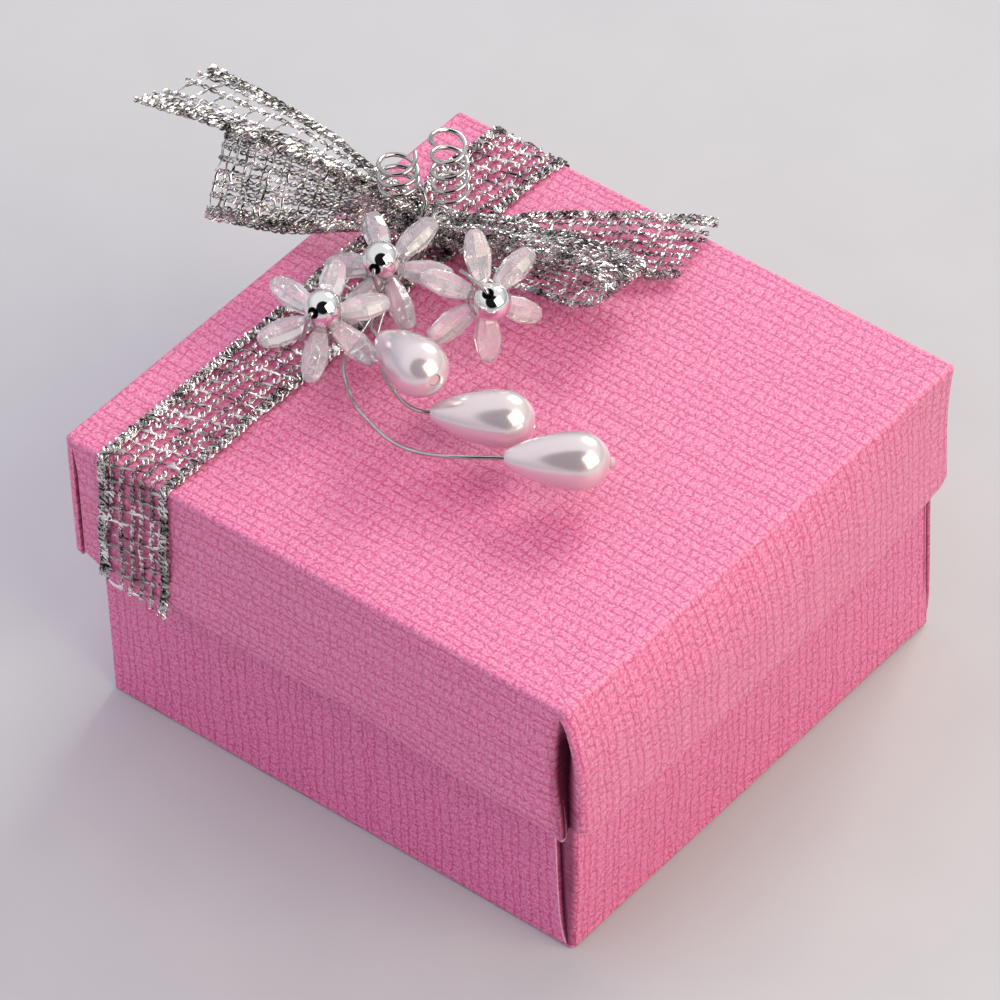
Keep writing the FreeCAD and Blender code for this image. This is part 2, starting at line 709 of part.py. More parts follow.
def make_flower(number, angle):
    """Six petals on a ring wire, a centre bead and the wire that holds them."""
    centre, axis, first = flower_axes(number)
    droop = math.radians(size("petal_droop"))
    ring_reach = petal_start + size("ring_inset")
    ring_radius = ring_reach * math.cos(droop)
    ring_drop = ring_reach * math.sin(droop)
    seat = bead_height()
    form = petal_form(ring_radius, ring_drop)
    count = int(size("petals"))
    for k in range(count):
        turn = 2 * math.pi * k / count
        way = first * math.cos(turn) + axis.cross(first) * math.sin(turn)
        petal = keep_shape(form, f"flower_{number}_petal_{k + 1}")
        petal.Placement = axes_placement(centre, way, axis)
    ring = primitive("Torus", f"flower_{number}_ring", {"Radius2": "Sizes.ring_wire / 2"})
    ring.Radius1 = ring_radius
    ring.Placement = axes_placement(centre - axis * ring_drop, first, axis)
    keep(ring, f"flower_{number}_ring")
    ball = primitive("Sphere", f"flower_{number}_ball", {"Radius": "Sizes.bead_diameter / 2"})
    hole = primitive("Cylinder", f"flower_{number}_hole",
                     {"Radius": "Sizes.bead_hole / 2", "Height": "2 * Sizes.bead_diameter"},
                     ("0", "0", "-Sizes.bead_diameter"))
    bead = boolean("Cut", f"flower_{number}_bead", ball, hole)
    bead.Placement = axes_placement(centre + axis * seat, first, axis)
    keep(bead, f"flower_{number}_bead")
    keep_shape(tube(flower_wire_edges(number, seat, angle), size("wire")), f"flower_{number}_wire")


# Pearl drops

def make_pearl(number, angle):
    """A drilled pearl drop on its stem, with glue in the cup at its fat end."""
    way = Vector(*PEARL_HEADINGS[number]).normalize()
    route = [knot + Vector(*place) for place in PEARL_ROUTES[number]]
    tip = route[-1]
    placement = axes_placement(tip, way.cross(UP).normalize(), way)
    radius = "Sizes.pearl_diameter / 2"
    middle = f"(Sizes.pearl_length - {radius})"
    slope = f"(asin({radius} / sqrt({middle} ^ 2 + (Sizes.pearl_tip / 2) ^ 2)) - atan(Sizes.pearl_tip / 2 / {middle}))"
    cone = primitive("Cone", f"pearl_{number}_cone",
                     {"Radius1": "Sizes.pearl_tip / 2", "Radius2": f"{radius} * cos({slope})",
                      "Height": f"{middle} - {radius} * sin({slope})"})
    ball = primitive("Sphere", f"pearl_{number}_ball", {"Radius": radius}, ("0", "0", middle))
    drop = boolean("Fuse", f"pearl_{number}_drop", cone, ball)
    bore = primitive("Cylinder", f"pearl_{number}_bore",
                     {"Radius": "Sizes.wire / 2 + Sizes.wire_gap", "Height": "Sizes.pearl_length"})
    cup = primitive("Cylinder", f"pearl_{number}_cup",
                    {"Radius": "Sizes.pearl_cup / 2", "Height": "2 * Sizes.pearl_cup_depth"},
                    ("0", "0", "Sizes.pearl_length - Sizes.pearl_cup_depth"))
    drilled = boolean("Cut", f"pearl_{number}", drop, boolean("Fuse", f"pearl_{number}_drilling", bore, cup))
    drilled.Placement = placement
    keep(drilled, f"pearl_{number}")

    root = bundle_seat(bundle_front, angle)
    clear = root + bundle_way * size("wire")
    inside = tip + way * (size("pearl_length") - size("pearl_cup_depth"))
    edges = [Part.LineSegment(root, clear).toShape()]
    edges += route_edges([clear] + route, bundle_way, way)
    edges.append(Part.LineSegment(tip, inside).toShape())
    keep_shape(tube(edges, size("wire")), f"pearl_{number}_stem")

    proud = PEARL_GLUE_PROUD[number]
    glue_radius = size("pearl_cup") / 2 - size("glue_gap")
    plug = Part.makeCylinder(glue_radius, size("pearl_cup_depth") + min(proud, 0), inside, way)
    if proud > 0:
        nib = Part.makeSphere(glue_radius)
        nib.translate(inside + way * (size("pearl_cup_depth") + proud - glue_radius))
        plug = plug.fuse(nib)
    keep_shape(plug, f"pearl_{number}_glue")


make_tray()
make_lid()
make_ribbon_band()
make_bow()
make_bundle()
make_curl("left", 180.0)
make_curl("right", 0.0)
for number, angle in zip(FLOWERS, (150.0, 90.0, 30.0)):
    make_flower(number, angle)
for number, angle in zip(PEARL_ROUTES, (330.0, 270.0, 210.0)):
    make_pearl(number, angle)

doc.recompute()
for thing in doc.Objects:
    if "Invalid" in thing.State or "Error" in thing.State:
        raise ValueError(f"{thing.Label} failed: {thing.State}")
for thing in nodes:
    if thing.Shape.isNull() or not thing.Shape.isValid():
        raise ValueError(f"{thing.Label} has no valid shape")
os.makedirs("parts", exist_ok=True)
for thing in nodes:
    thing.Shape.exportStep(f"parts/{thing.Label}.step")
print(f"{len(nodes)} sub-parts written")
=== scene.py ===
"""Card gift box with a mesh ribbon, a bow and a wired bead spray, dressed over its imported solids.

Shapes are worked out in millimetres and put into their meshes in metres. +Z is up, the ribbon's hanging end
is on the -Y side, and the origin is the middle of the tray's underside.
"""
import math

import bmesh
import bpy
import numpy as np
from mathutils import Matrix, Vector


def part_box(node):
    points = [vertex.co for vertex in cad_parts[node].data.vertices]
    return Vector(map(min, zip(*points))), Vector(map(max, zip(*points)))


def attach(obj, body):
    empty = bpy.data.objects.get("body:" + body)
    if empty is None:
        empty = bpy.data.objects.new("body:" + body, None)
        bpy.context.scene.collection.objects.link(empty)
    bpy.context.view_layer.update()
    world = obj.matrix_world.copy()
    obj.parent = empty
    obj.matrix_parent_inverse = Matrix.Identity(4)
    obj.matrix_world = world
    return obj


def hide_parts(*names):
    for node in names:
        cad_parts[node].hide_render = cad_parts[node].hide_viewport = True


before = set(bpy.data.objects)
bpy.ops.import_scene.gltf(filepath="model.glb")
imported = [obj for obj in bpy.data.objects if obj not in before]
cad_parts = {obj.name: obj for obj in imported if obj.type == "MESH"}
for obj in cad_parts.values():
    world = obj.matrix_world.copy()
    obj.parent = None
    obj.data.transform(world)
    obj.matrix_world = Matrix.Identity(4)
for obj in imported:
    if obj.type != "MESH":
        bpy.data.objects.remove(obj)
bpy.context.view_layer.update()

bl_info = {
    "name": "Card gift box",
    "version": (1, 0, 0),
    "blender": (4, 5, 0),
    "location": "3D View > Sidebar > Gift box",
    "description": "Folded card box with a mesh ribbon bow and a wired spray of beads and pearl drops",
    "category": "Object",
}

MM = 0.001
UP = np.array((0.0, 0.0, 1.0))


def node_box(node):
    """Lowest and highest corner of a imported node, in millimetres."""
    low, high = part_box(node)
    return np.array(low) / MM, np.array(high) / MM


def node_centre(node):
    """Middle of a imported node's box, in millimetres."""
    low, high = node_box(node)
    return (low + high) / 2


LID_LOW, LID_HIGH = node_box("lid")
TRAY_HIGH = node_box("base_tray")[1]
BAND_LOW, BAND_HIGH = node_box("ribbon_band")
KNOT = node_centre("bow_knot")

# How far from a corner of the card the closely spaced columns reach, which shape the seams.
SEAM_REACH = 4.5
PETALS = 6
# Petal ring of each flower: compass angle and rise of its axis, turn of its first petal, and the gap
# between petals where its wire goes down, counted from the first petal.
FLOWERS = {
    1: {"azimuth": -46.0, "elevation": 68.7, "spin": 13.8, "gap": 3},
    2: {"azimuth": -83.0, "elevation": 62.0, "spin": 15.5, "gap": 4},
    3: {"azimuth": -25.6, "elevation": 25.9, "spin": 23.8, "gap": 1},
}
# Places that each wire passes, from the knot, between the bundle and its flower or pearl.
FLOWER_ROUTES = {
    1: [(2.0, -8.4, -1.1), (3.3, -15.5, -1.3), (4.4, -21.0, 0.4)],
    2: [(2.9, -8.6, 0.3)],
    3: [(4.6, -7.0, 1.2), (10.6, -8.4, 2.6)],
}
PEARL_ROUTES = {
    1: [(3.6, -9.6, -0.6), (6.4, -16.2, 0.9), (11.4, -21.2, 4.7)],
    2: [(3.2, -9.0, -1.3), (7.0, -16.6, -0.6), (9.6, -19.3, 0.0), (13.8, -23.1, 0.9), (21.4, -25.3, 2.2)],
    3: [(2.5, -8.8, -1.7), (4.6, -16.4, -1.9), (6.4, -21.4, -0.9), (9.6, -25.1, -0.2), (14.5, -28.2, 0.2),
        (22.9, -30.2, 1.2), (32.3, -26.2, 2.4)],
}
PEARL_HEADINGS = {1: (0.93, -0.31, 0.20), 2: (0.87, 0.49, 0.01), 3: (0.82, 0.58, -0.02)}
# Where each wire leaves its end of the bundle, as an angle round the bundle.
FLOWER_SEATS = {1: 150.0, 2: 90.0, 3: 30.0}
PEARL_SEATS = {1: 330.0, 2: 270.0, 3: 210.0}
# Middle of each curl's first turn from the knot, the angle where it starts, its radius, turns and height,
# and where it leaves the bundle.
CURLS = {
    "left": {"centre": (-1.8, -2.1, 5.5), "start": 60.0, "radius": 2.15, "turns": 3, "height": 4.6,
             "seat": 180.0},
    "right": {"centre": (3.2, 0.8, 5.5), "start": 270.0, "radius": 1.95, "turns": 4, "height": 8.4,
              "seat": 0.0},
}
# Places of the chains of yarn between the ribbon's selvedges, from its middle, where the ribbon lies flat.
WARPS = (-2.9, -1.55, -0.1, 1.3, 2.75)
# Compass angle, rise and roll of each loop of the bow with its length, opening and width, and the lean and
# drop of its upper ply.
LOOPS = {
    "left": {"pose": (209.5, 11.6, -39.0), "length": 23.8, "opening": 4.6, "width": 10.2,
             "lean": 0.0, "drop": 0.0},
    "right": {"pose": (8.0, 8.4, 5.0), "length": 26.0, "opening": 5.4, "width": 9.2,
              "lean": 24.0, "drop": 2.4},
}
# Compass angle, rise and roll of each tail, its start above the knot's middle, its arch, the share of its
# length in which it fans out, its length, slanted cut and chains.
TAILS = {
    "left": {"pose": (204.6, 28.2, 5.0), "start": 1.3, "arch": 1.7, "fan": 1.0, "length": 31.8,
             "slant": 6.6, "warps": (-3.1, -1.3, 1.7, 2.7, 3.5)},
    "right": {"pose": (33.0, -3.9, -2.0), "start": -1.9, "arch": 0.3, "fan": 0.6, "length": 30.3,
              "slant": -4.2, "warps": WARPS},
}
BUNDLE_AZIMUTH = -80.0
BUNDLE_SLOPE = 55.0
# Camera of the photograph: compass angle, rise and roll in degrees, focal length in millimetres, and in
# metres its distance, its shifts to the right and upwards, and the height of the point that it looks at.
CAMERA = {"azimuth": -48.95, "elevation": 43.745, "roll": -2.577, "lens": 284.598,
          "distance": 0.8707, "right": -0.001802, "above": 0.002865, "height": 0.02}
# Lamps in metres and watts.
LAMPS = {
    "back_lamp": {"place": (-0.2, 1.5, 1.05), "size": 0.75, "energy": 18.2, "colour": (0.98, 0.99, 0.94)},
    "right_lamp": {"place": (1.7, 0.1, 1.15), "size": 1.8, "energy": 36.0, "colour": (1.0, 0.90, 0.72)},
}


class BoxSizes(bpy.types.PropertyGroup):
    """Sizes of the folded card."""

    corner: bpy.props.FloatProperty(name="Corner rounding", description="Radius of the upright corners",
                                    default=0.65)
    lid_fold: bpy.props.FloatProperty(name="Lid fold", description="Radius of the lid's top folds",
                                      default=0.55)
    tray_fold: bpy.props.FloatProperty(name="Tray fold", description="Radius of the tray's floor folds",
                                       default=0.5)
    wall: bpy.props.FloatProperty(name="Wall", description="Thickness of a rolled wall of two plies",
                                  default=1.0)
    panel: bpy.props.FloatProperty(name="Panel", description="Thickness of a single ply", default=0.5)
    lid_strip: bpy.props.FloatProperty(name="Lid strip",
                                       description="Side wall turned round each corner of the lid",
                                       default=0.45)
    lid_slit: bpy.props.FloatProperty(name="Lid slit", description="Width of the lid's corner slits",
                                      default=0.5)
    lid_slit_depth: bpy.props.FloatProperty(name="Lid slit depth",
                                            description="Depth of the lid's corner slits", default=2.2)
    tray_slit: bpy.props.FloatProperty(name="Tray seam", description="Width of the tray's corner seams",
                                       default=1.1)
    tray_slit_depth: bpy.props.FloatProperty(name="Tray seam depth",
                                             description="Depth of the tray's corner seams", default=0.65)
    tray_lean: bpy.props.FloatProperty(name="Tray lean",
                                       description="How far the tray's side wall leans out in front",
                                       default=0.8)
    corner_cut: bpy.props.FloatProperty(name="Corner cut",
                                        description="Cut at the lower corners of the lid's walls",
                                        default=1.0)
    bow_out: bpy.props.FloatProperty(name="Bow out",
                                     description="How far the lid's side wall bows out at its lower edge",
                                     default=1.5)
    flare: bpy.props.FloatProperty(name="Flare",
                                   description="How far that wall's front corner stands out below",
                                   default=2.0)
    front_flare: bpy.props.FloatProperty(name="Front flare",
                                         description="How far the front wall's right end stands out",
                                         default=1.5)
    lean_in: bpy.props.FloatProperty(name="Lean in",
                                     description="How far the lid's back wall leans in at its lower edge",
                                     default=0.3)


class RibbonSizes(bpy.types.PropertyGroup):
    """Sizes of the mesh ribbon and its yarns."""

    width: bpy.props.FloatProperty(name="Width", description="Width of the ribbon", default=10.2)
    selvedge: bpy.props.FloatProperty(name="Selvedge",
                                      description="Middle of each selvedge from the ribbon's middle",
                                      default=4.4)
    weft_pitch: bpy.props.FloatProperty(name="Weft pitch", description="Distance between cross yarns",
                                        default=2.0)
    twist_pitch: bpy.props.FloatProperty(name="Twist pitch", description="Length of one twist of a chain",
                                         default=1.9)
    chain: bpy.props.FloatProperty(name="Chain", description="Radius of a chain's two twisted yarns",
                                   default=0.2)
    film: bpy.props.FloatProperty(name="Film", description="Half width of the flat metallic film",
                                  default=0.16)
    film_ply: bpy.props.FloatProperty(name="Film thickness", description="Half thickness of the film",
                                      default=0.085)
    waist: bpy.props.FloatProperty(name="Waist", description="Gathered width at the knot", default=3.2)


class SpraySizes(bpy.types.PropertyGroup):
    """Sizes of the wires, beads, petals and pearls."""

    wire: bpy.props.FloatProperty(name="Wire", description="Wire diameter", default=0.45)
    curl_wire: bpy.props.FloatProperty(name="Curl wire", description="Wire diameter of the curls",
                                       default=0.55)
    bundle: bpy.props.FloatProperty(name="Bundle", description="Diameter of the twisted stems",
                                    default=1.75)
    bundle_length: bpy.props.FloatProperty(name="Bundle length", description="Length of the twisted stems",
                                           default=3.9)
    petal_start: bpy.props.FloatProperty(name="Petal start",
                                         description="Inner end of a petal from its flower's middle",
                                         default=1.2)
    petal_length: bpy.props.FloatProperty(name="Petal length", description="Length of a petal bead",
                                          default=6.4)
    petal_belly: bpy.props.FloatProperty(name="Petal belly", description="Distance of the widest place",
                                         default=3.5)
    petal_width: bpy.props.FloatProperty(name="Petal width", description="Width of a petal bead",
                                         default=3.0)
    petal_root: bpy.props.FloatProperty(name="Petal root", description="Width of a petal at its ring",
                                        default=1.1)
    petal_tip: bpy.props.FloatProperty(name="Petal tip", description="Width of a petal's tip", default=1.7)
    petal_droop: bpy.props.FloatProperty(name="Petal droop",
                                         description="Angle of the petals below the ring, degrees",
                                         default=9.0)
    ring_inset: bpy.props.FloatProperty(name="Ring inset", description="Ring wire from a petal's inner end",
                                        default=0.75)
    bead_hole: bpy.props.FloatProperty(name="Bead hole", description="Diameter of a bead's drilling",
                                       default=1.35)
    pearl_length: bpy.props.FloatProperty(name="Pearl length", description="Length of a pearl drop",
                                          default=11.4)
    pearl: bpy.props.FloatProperty(name="Pearl", description="Diameter of a pearl drop", default=6.4)
    pearl_tip: bpy.props.FloatProperty(name="Pearl tip", description="Diameter of a pearl's tip",
                                       default=1.8)
    pearl_belly: bpy.props.FloatProperty(name="Pearl belly",
                                         description="Distance of a pearl's widest place from its tip",
                                         default=8.0)
    pearl_cup: bpy.props.FloatProperty(name="Pearl cup", description="Diameter of the glue cup",
                                       default=1.4)


class Finishes(bpy.types.PropertyGroup):
    """Colours of the materials."""

    card: bpy.props.FloatVectorProperty(name="Card", description="Face of the card", subtype="COLOR",
                                        size=3, default=(0.66, 0.12, 0.27))
    # The crease colours are painted shade in the creases of the embossing.
    crease: bpy.props.FloatVectorProperty(name="Crease", description="Card in the creases of its embossing",
                                          subtype="COLOR", size=3, default=(0.55, 0.048, 0.165))
    # The tray card is deeper in tone, partly its own colour and partly painted shade under the lid's
    # overhang; its crease colour is painted shade too.
    tray_card: bpy.props.FloatVectorProperty(name="Tray card", description="Face of the tray's deeper card",
                                             subtype="COLOR", size=3, default=(0.72, 0.11, 0.30))
    tray_crease: bpy.props.FloatVectorProperty(name="Tray crease", description="Tray's card in its creases",
                                               subtype="COLOR", size=3, default=(0.46, 0.026, 0.115))
    raw_card: bpy.props.FloatVectorProperty(name="Raw card",
                                            description="Cut edges and reverse of the card",
                                            subtype="COLOR", size=3, default=(0.88, 0.66, 0.66))
    film: bpy.props.FloatVectorProperty(name="Ribbon film", description="Metallic film of the ribbon",
                                        subtype="COLOR", size=3, default=(0.74, 0.725, 0.725))
    wire: bpy.props.FloatVectorProperty(name="Wire", description="Drawn wire", subtype="COLOR", size=3,
                                        default=(0.52, 0.51, 0.505))
    mirror: bpy.props.FloatVectorProperty(name="Mirror bead", description="Mirror coat of the round beads",
                                          subtype="COLOR", size=3, default=(0.88, 0.88, 0.88))
    crystal: bpy.props.FloatVectorProperty(name="Crystal", description="Clear petals", subtype="COLOR",
                                           size=3, default=(1.0, 0.965, 0.945))
    pearl: bpy.props.FloatVectorProperty(name="Pearl", description="Satin coat of the pearls",
                                         subtype="COLOR", size=3, default=(0.76, 0.695, 0.68))
    floor: bpy.props.FloatVectorProperty(name="Floor", description="Paper under the box", subtype="COLOR",
                                         size=3, default=(0.463, 0.487, 0.448))


# Numbers and curves

def unit(vectors):
    """Vectors scaled to length one along the last axis."""
    return vectors / np.linalg.norm(vectors, axis=-1, keepdims=True)


def direction(azimuth, elevation):
    """Unit vector at a compass angle from +X towards +Y, raised by an elevation, in degrees."""
    turn = math.radians(azimuth)
    rise = math.radians(elevation)
    return np.array((math.cos(turn) * math.cos(rise), math.sin(turn) * math.cos(rise), math.sin(rise)))


def ease(share):
    """Smooth step from 0 to 1: 3 s^2 - 2 s^3."""
    share = np.clip(share, 0.0, 1.0)
    return share * share * (3 - 2 * share)


def ripple(first, second, pitch, seed):
    """Smooth irregular field, mostly from -1 to 1: twice the mean of seven plane waves near one pitch."""
    waves = 7
    random = np.random.default_rng(seed)
    total = 0.0
    for _ in range(waves):
        turn = random.uniform(0, math.tau)
        wave = math.tau / (pitch * random.uniform(0.6, 1.6))
        along = math.cos(turn) * first + math.sin(turn) * second
        total = total + np.sin(wave * along + random.uniform(0, math.tau))
    return total / (waves / 2)


def hermite_path(places, headings, steps):
    """Points on cubic Hermite spans between places; end slopes are a span's chord times its headings."""
    places = np.array(places)
    headings = unit(np.array(headings))
    share = np.linspace(0, 1, steps, endpoint=False)[None, :, None]
    start, end = places[:-1, None], places[1:, None]
    chord = np.linalg.norm(end - start, axis=-1, keepdims=True)
    slope, end_slope = headings[:-1, None] * chord, headings[1:, None] * chord
    square, cube = share ** 2, share ** 3
    points = ((2 * cube - 3 * square + 1) * start + (cube - 2 * square + share) * slope
              + (3 * square - 2 * cube) * end + (cube - square) * end_slope)
    return np.vstack([points.reshape(-1, 3), places[-1:]])


def through_headings(places, first, last):
    """Headings along a route: the given ones at its ends and between neighbours elsewhere."""
    places = np.array(places)
    return np.vstack([first, unit(places[2:] - places[:-2]), last])


# Meshes

def grid_faces(rows, columns, wrap_columns=False, wrap_rows=False):
    """Corner numbers of the quads of a grid of points, joined round where asked."""
    i = np.arange(rows if wrap_rows else rows - 1)[:, None]
    j = np.arange(columns if wrap_columns else columns - 1)[None, :]
    below = (i + 1) % rows
    beside = (j + 1) % columns
    return np.stack([i * columns + j, i * columns + beside, below * columns + beside, below * columns + j],
                    axis=-1).reshape(-1, 4)


def fill_mesh(mesh, points, face_sets):
    """Put points in millimetres and sets of faces, each an array of corner numbers, into a mesh."""
    corners = np.concatenate([faces.ravel() for faces in face_sets])
    counts = np.concatenate([np.full(len(faces), faces.shape[1]) for faces in face_sets])
    starts = np.concatenate([[0], np.cumsum(counts)[:-1]])
    mesh.vertices.add(len(points))
    mesh.vertices.foreach_set("co", (points * MM).ravel())
    mesh.loops.add(len(corners))
    mesh.loops.foreach_set("vertex_index", corners.astype(np.int32))
    mesh.polygons.add(len(counts))
    mesh.polygons.foreach_set("loop_start", starts.astype(np.int32))
    mesh.update(calc_edges=True)


def turn_faces_out(mesh):
    """Point every face of each closed part of a mesh outwards."""
    shell = bmesh.new()
    shell.from_mesh(mesh)
    bmesh.ops.recalc_face_normals(shell, faces=shell.faces)
    shell.to_mesh(mesh)
    shell.free()


def make_piece(name, points, face_sets, materials, nodes, body="lid", uv=None, slots=None,
               smooth=True, sharp=None):
    """A piece of the object: its mesh, materials, body and the nodes that it stands for."""
    mesh = bpy.data.meshes.new(name)
    fill_mesh(mesh, points.reshape(-1, 3), face_sets)
    for material in materials:
        mesh.materials.append(material)
    if slots is not None:
        mesh.polygons.foreach_set("material_index", slots.astype(np.int32))
    if uv is not None:
        mesh.uv_layers.new(name="Unfolded").data.foreach_set("uv", uv.astype(np.float32).ravel())
    turn_faces_out(mesh)
    mesh.polygons.foreach_set("use_smooth", np.full(len(mesh.polygons), smooth))
    if sharp:
        mesh.set_sharp_from_angle(angle=math.radians(sharp))
    piece = bpy.data.objects.new(name, mesh)
    bpy.context.scene.collection.objects.link(piece)
    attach(piece, body)
    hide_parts(*nodes)
    return piece


def moving_frame(path):
    """Two directions across a path at each point, carried along it with the least turning."""
    heading = unit(np.gradient(path, axis=0))
    side = np.empty_like(path)
    spare = UP if abs(heading[0, 2]) < 0.9 else np.array((1.0, 0.0, 0.0))
    side[0] = unit(np.cross(heading[0], spare))
    for i in range(1, len(path)):
        carried = side[i - 1] - heading[i] * np.dot(side[i - 1], heading[i])
        side[i] = carried / np.linalg.norm(carried)
    return side, np.cross(heading, side)


def tube(path, radius, sides=12):
    """Points and faces of a round wire: path plus radius (cos a side + sin a other), with closed ends."""
    side, other = moving_frame(path)
    angle = np.linspace(0, math.tau, sides, endpoint=False)[None, :, None]
    points = path[:, None] + radius * (np.cos(angle) * side[:, None] + np.sin(angle) * other[:, None])
    rows = len(path)
    ends = np.stack([np.arange(sides), np.arange(sides) + (rows - 1) * sides])
    return points.reshape(-1, 3), [grid_faces(rows, sides, wrap_columns=True), ends]


def join_shapes(shapes):
    """Several shapes of points and face sets as one."""
    points = []
    face_sets = []
    count = 0
    for shape_points, shape_faces in shapes:
        points.append(shape_points)
        face_sets += [faces + count for faces in shape_faces]
        count += len(shape_points)
    return np.concatenate(points), face_sets


def turned_shape(profile, centre, axis, columns, closed=False):
    """A profile of radii r and heights h turned round: centre + axis h + r (cos a side + sin a other)."""
    spare = UP if abs(axis[2]) < 0.9 else np.array((1.0, 0.0, 0.0))
    side = unit(np.cross(axis, spare))
    other = np.cross(axis, side)
    angle = np.linspace(0, math.tau, columns, endpoint=False)[None, :, None]
    radius = profile[:, 0, None, None]
    height = profile[:, 1, None, None]
    points = centre + axis * height + radius * (np.cos(angle) * side + np.sin(angle) * other)
    return points.reshape(-1, 3), [grid_faces(len(profile), columns, wrap_columns=True, wrap_rows=closed)]


# Materials

def add_node(tree, kind, values=None, **settings):
    """A node with its settings and its unlinked input values."""
    node = tree.nodes.new(kind)
    for key, value in settings.items():
        setattr(node, key, value)
    for key, value in (values or {}).items():
        node.inputs[key].default_value = value
    return node


def link(tree, source, output, target, socket):
    """Join an output to an input."""
    tree.links.new(source.outputs[output], target.inputs[socket])


def new_group(name, inputs, outputs):
    """An empty shader group with its sockets, its input node and its output node."""
    group = bpy.data.node_groups.new(name, "ShaderNodeTree")
    for socket, kind, default in inputs:
        item = group.interface.new_socket(socket, in_out="INPUT", socket_type=kind)
        if default is not None:
            item.default_value = default
    for socket, kind in outputs:
        group.interface.new_socket(socket, in_out="OUTPUT", socket_type=kind)
    return group, group.nodes.new("NodeGroupInput"), group.nodes.new("NodeGroupOutput")


def emboss_group():
    """Linen embossing in units of one millimetre: uneven rows along u, parted into cells, with fibres.

    Rows are the cells of a one-dimensional Voronoi pattern across the warped v; each row parts its own
    length u the same way from its own random start. Creases lie where a distance to an edge is small.
    """
    group, start, end = new_group("Linen emboss", [("Vector", "NodeSocketVector", None)],
                                  [("Height", "NodeSocketFloat"), ("Crease", "NodeSocketFloat"),
                                   ("Pillow", "NodeSocketFloat"), ("Fibre", "NodeSocketFloat")])
    moved = start.outputs["Vector"]
    for scale, along, across in ((0.22, 1.1, 1.1), (1.3, 0.52, 0.24), (3.0, 0.42, 0.16)):
        wander = add_node(group, "ShaderNodeTexNoise", {"Scale": scale, "Detail": 2.0},
                          noise_dimensions="2D")
        centred = add_node(group, "ShaderNodeVectorMath", {1: (0.5, 0.5, 0.5)}, operation="SUBTRACT")
        pushed = add_node(group, "ShaderNodeVectorMath", {1: (along, across, 0.0)}, operation="MULTIPLY")
        added = add_node(group, "ShaderNodeVectorMath", operation="ADD")
        link(group, start, "Vector", wander, "Vector")
        link(group, wander, "Color", centred, 0)
        link(group, centred, 0, pushed, 0)
        group.links.new(moved, added.inputs[0])
        link(group, pushed, 0, added, 1)
        moved = added.outputs[0]
    parts = group.nodes.new("ShaderNodeSeparateXYZ")
    group.links.new(moved, parts.inputs[0])

    row_pitch = {"Scale": 0.80, "Randomness": 1.0}
    cell_pitch = {"Scale": 0.83, "Randomness": 0.75}
    row_edge = add_node(group, "ShaderNodeTexVoronoi", row_pitch, feature="DISTANCE_TO_EDGE",
                        voronoi_dimensions="1D")
    row_name = add_node(group, "ShaderNodeTexVoronoi", row_pitch, feature="F1", voronoi_dimensions="1D")
    row_start = add_node(group, "ShaderNodeMath", {1: 400.0}, operation="MULTIPLY_ADD")
    cell_edge = add_node(group, "ShaderNodeTexVoronoi", cell_pitch, feature="DISTANCE_TO_EDGE",
                         voronoi_dimensions="1D")
    link(group, parts, "Y", row_edge, "W")
    link(group, parts, "Y", row_name, "W")
    link(group, row_name, "Color", row_start, 0)
    link(group, parts, "X", row_start, 2)
    link(group, row_start, 0, cell_edge, "W")

    patches = add_node(group, "ShaderNodeTexNoise", {"Scale": 0.9, "Detail": 2.0}, noise_dimensions="2D")
    fibre = add_node(group, "ShaderNodeTexNoise", {"Scale": 3.1, "Detail": 1.6, "Roughness": 0.65},
                     noise_dimensions="2D")
    link(group, start, "Vector", patches, "Vector")
    link(group, start, "Vector", fibre, "Vector")
    nearest = add_node(group, "ShaderNodeMath", {2: 0.34}, operation="SMOOTH_MIN")
    for socket, edge, faint, clear in ((0, row_edge, 0.03, 0.0), (1, cell_edge, 0.10, 0.02)):
        faded = add_node(group, "ShaderNodeMath", operation="ADD")
        link(group, edge, "Distance", faded, 0)
        group.links.new(ranged(group, patches.outputs["Fac"], 0.38, 0.56, faint, clear), faded.inputs[1])
        link(group, faded, 0, nearest, socket)
    broken = add_node(group, "ShaderNodeMath", operation="MULTIPLY", use_clamp=True)
    group.links.new(ranged(group, nearest.outputs[0], 0.0, 0.11, 1.0, 0.0), broken.inputs[0])
    group.links.new(ranged(group, fibre.outputs["Fac"], 0.38, 0.60, 1.25, 0.5), broken.inputs[1])

    pillow = ranged(group, nearest.outputs[0], 0.08, 0.36, 0.0, 1.0)
    rough = add_node(group, "ShaderNodeMath", {1: 1.1}, operation="MULTIPLY")
    swollen = add_node(group, "ShaderNodeMath", operation="ADD")
    raised = add_node(group, "ShaderNodeMath", operation="SUBTRACT")
    link(group, fibre, "Fac", rough, 0)
    link(group, rough, 0, swollen, 0)
    group.links.new(pillow, swollen.inputs[1])
    link(group, swollen, 0, raised, 0)
    link(group, broken, 0, raised, 1)
    link(group, raised, 0, end, "Height")
    link(group, broken, 0, end, "Crease")
    group.links.new(pillow, end.inputs["Pillow"])
    link(group, fibre, "Fac", end, "Fibre")
    return group


def grain_group():
    """Fine uneven grain on Object coordinates for metal, glue and coated beads."""
    group, start, end = new_group("Fine grain", [("Scale", "NodeSocketFloat", 1500.0)],
                                  [("Grain", "NodeSocketFloat"), ("Patches", "NodeSocketFloat")])
    place = group.nodes.new("ShaderNodeTexCoord")
    fine = add_node(group, "ShaderNodeTexNoise", {"Detail": 3.0})
    wide_scale = add_node(group, "ShaderNodeMath", {1: 0.2}, operation="MULTIPLY")
    wide = add_node(group, "ShaderNodeTexNoise", {"Detail": 2.0})
    link(group, place, "Object", fine, "Vector")
    link(group, start, "Scale", fine, "Scale")
    link(group, start, "Scale", wide_scale, 0)
    link(group, place, "Object", wide, "Vector")
    link(group, wide_scale, 0, wide, "Scale")
    link(group, fine, "Fac", end, "Grain")
    link(group, wide, "Fac", end, "Patches")
    return group


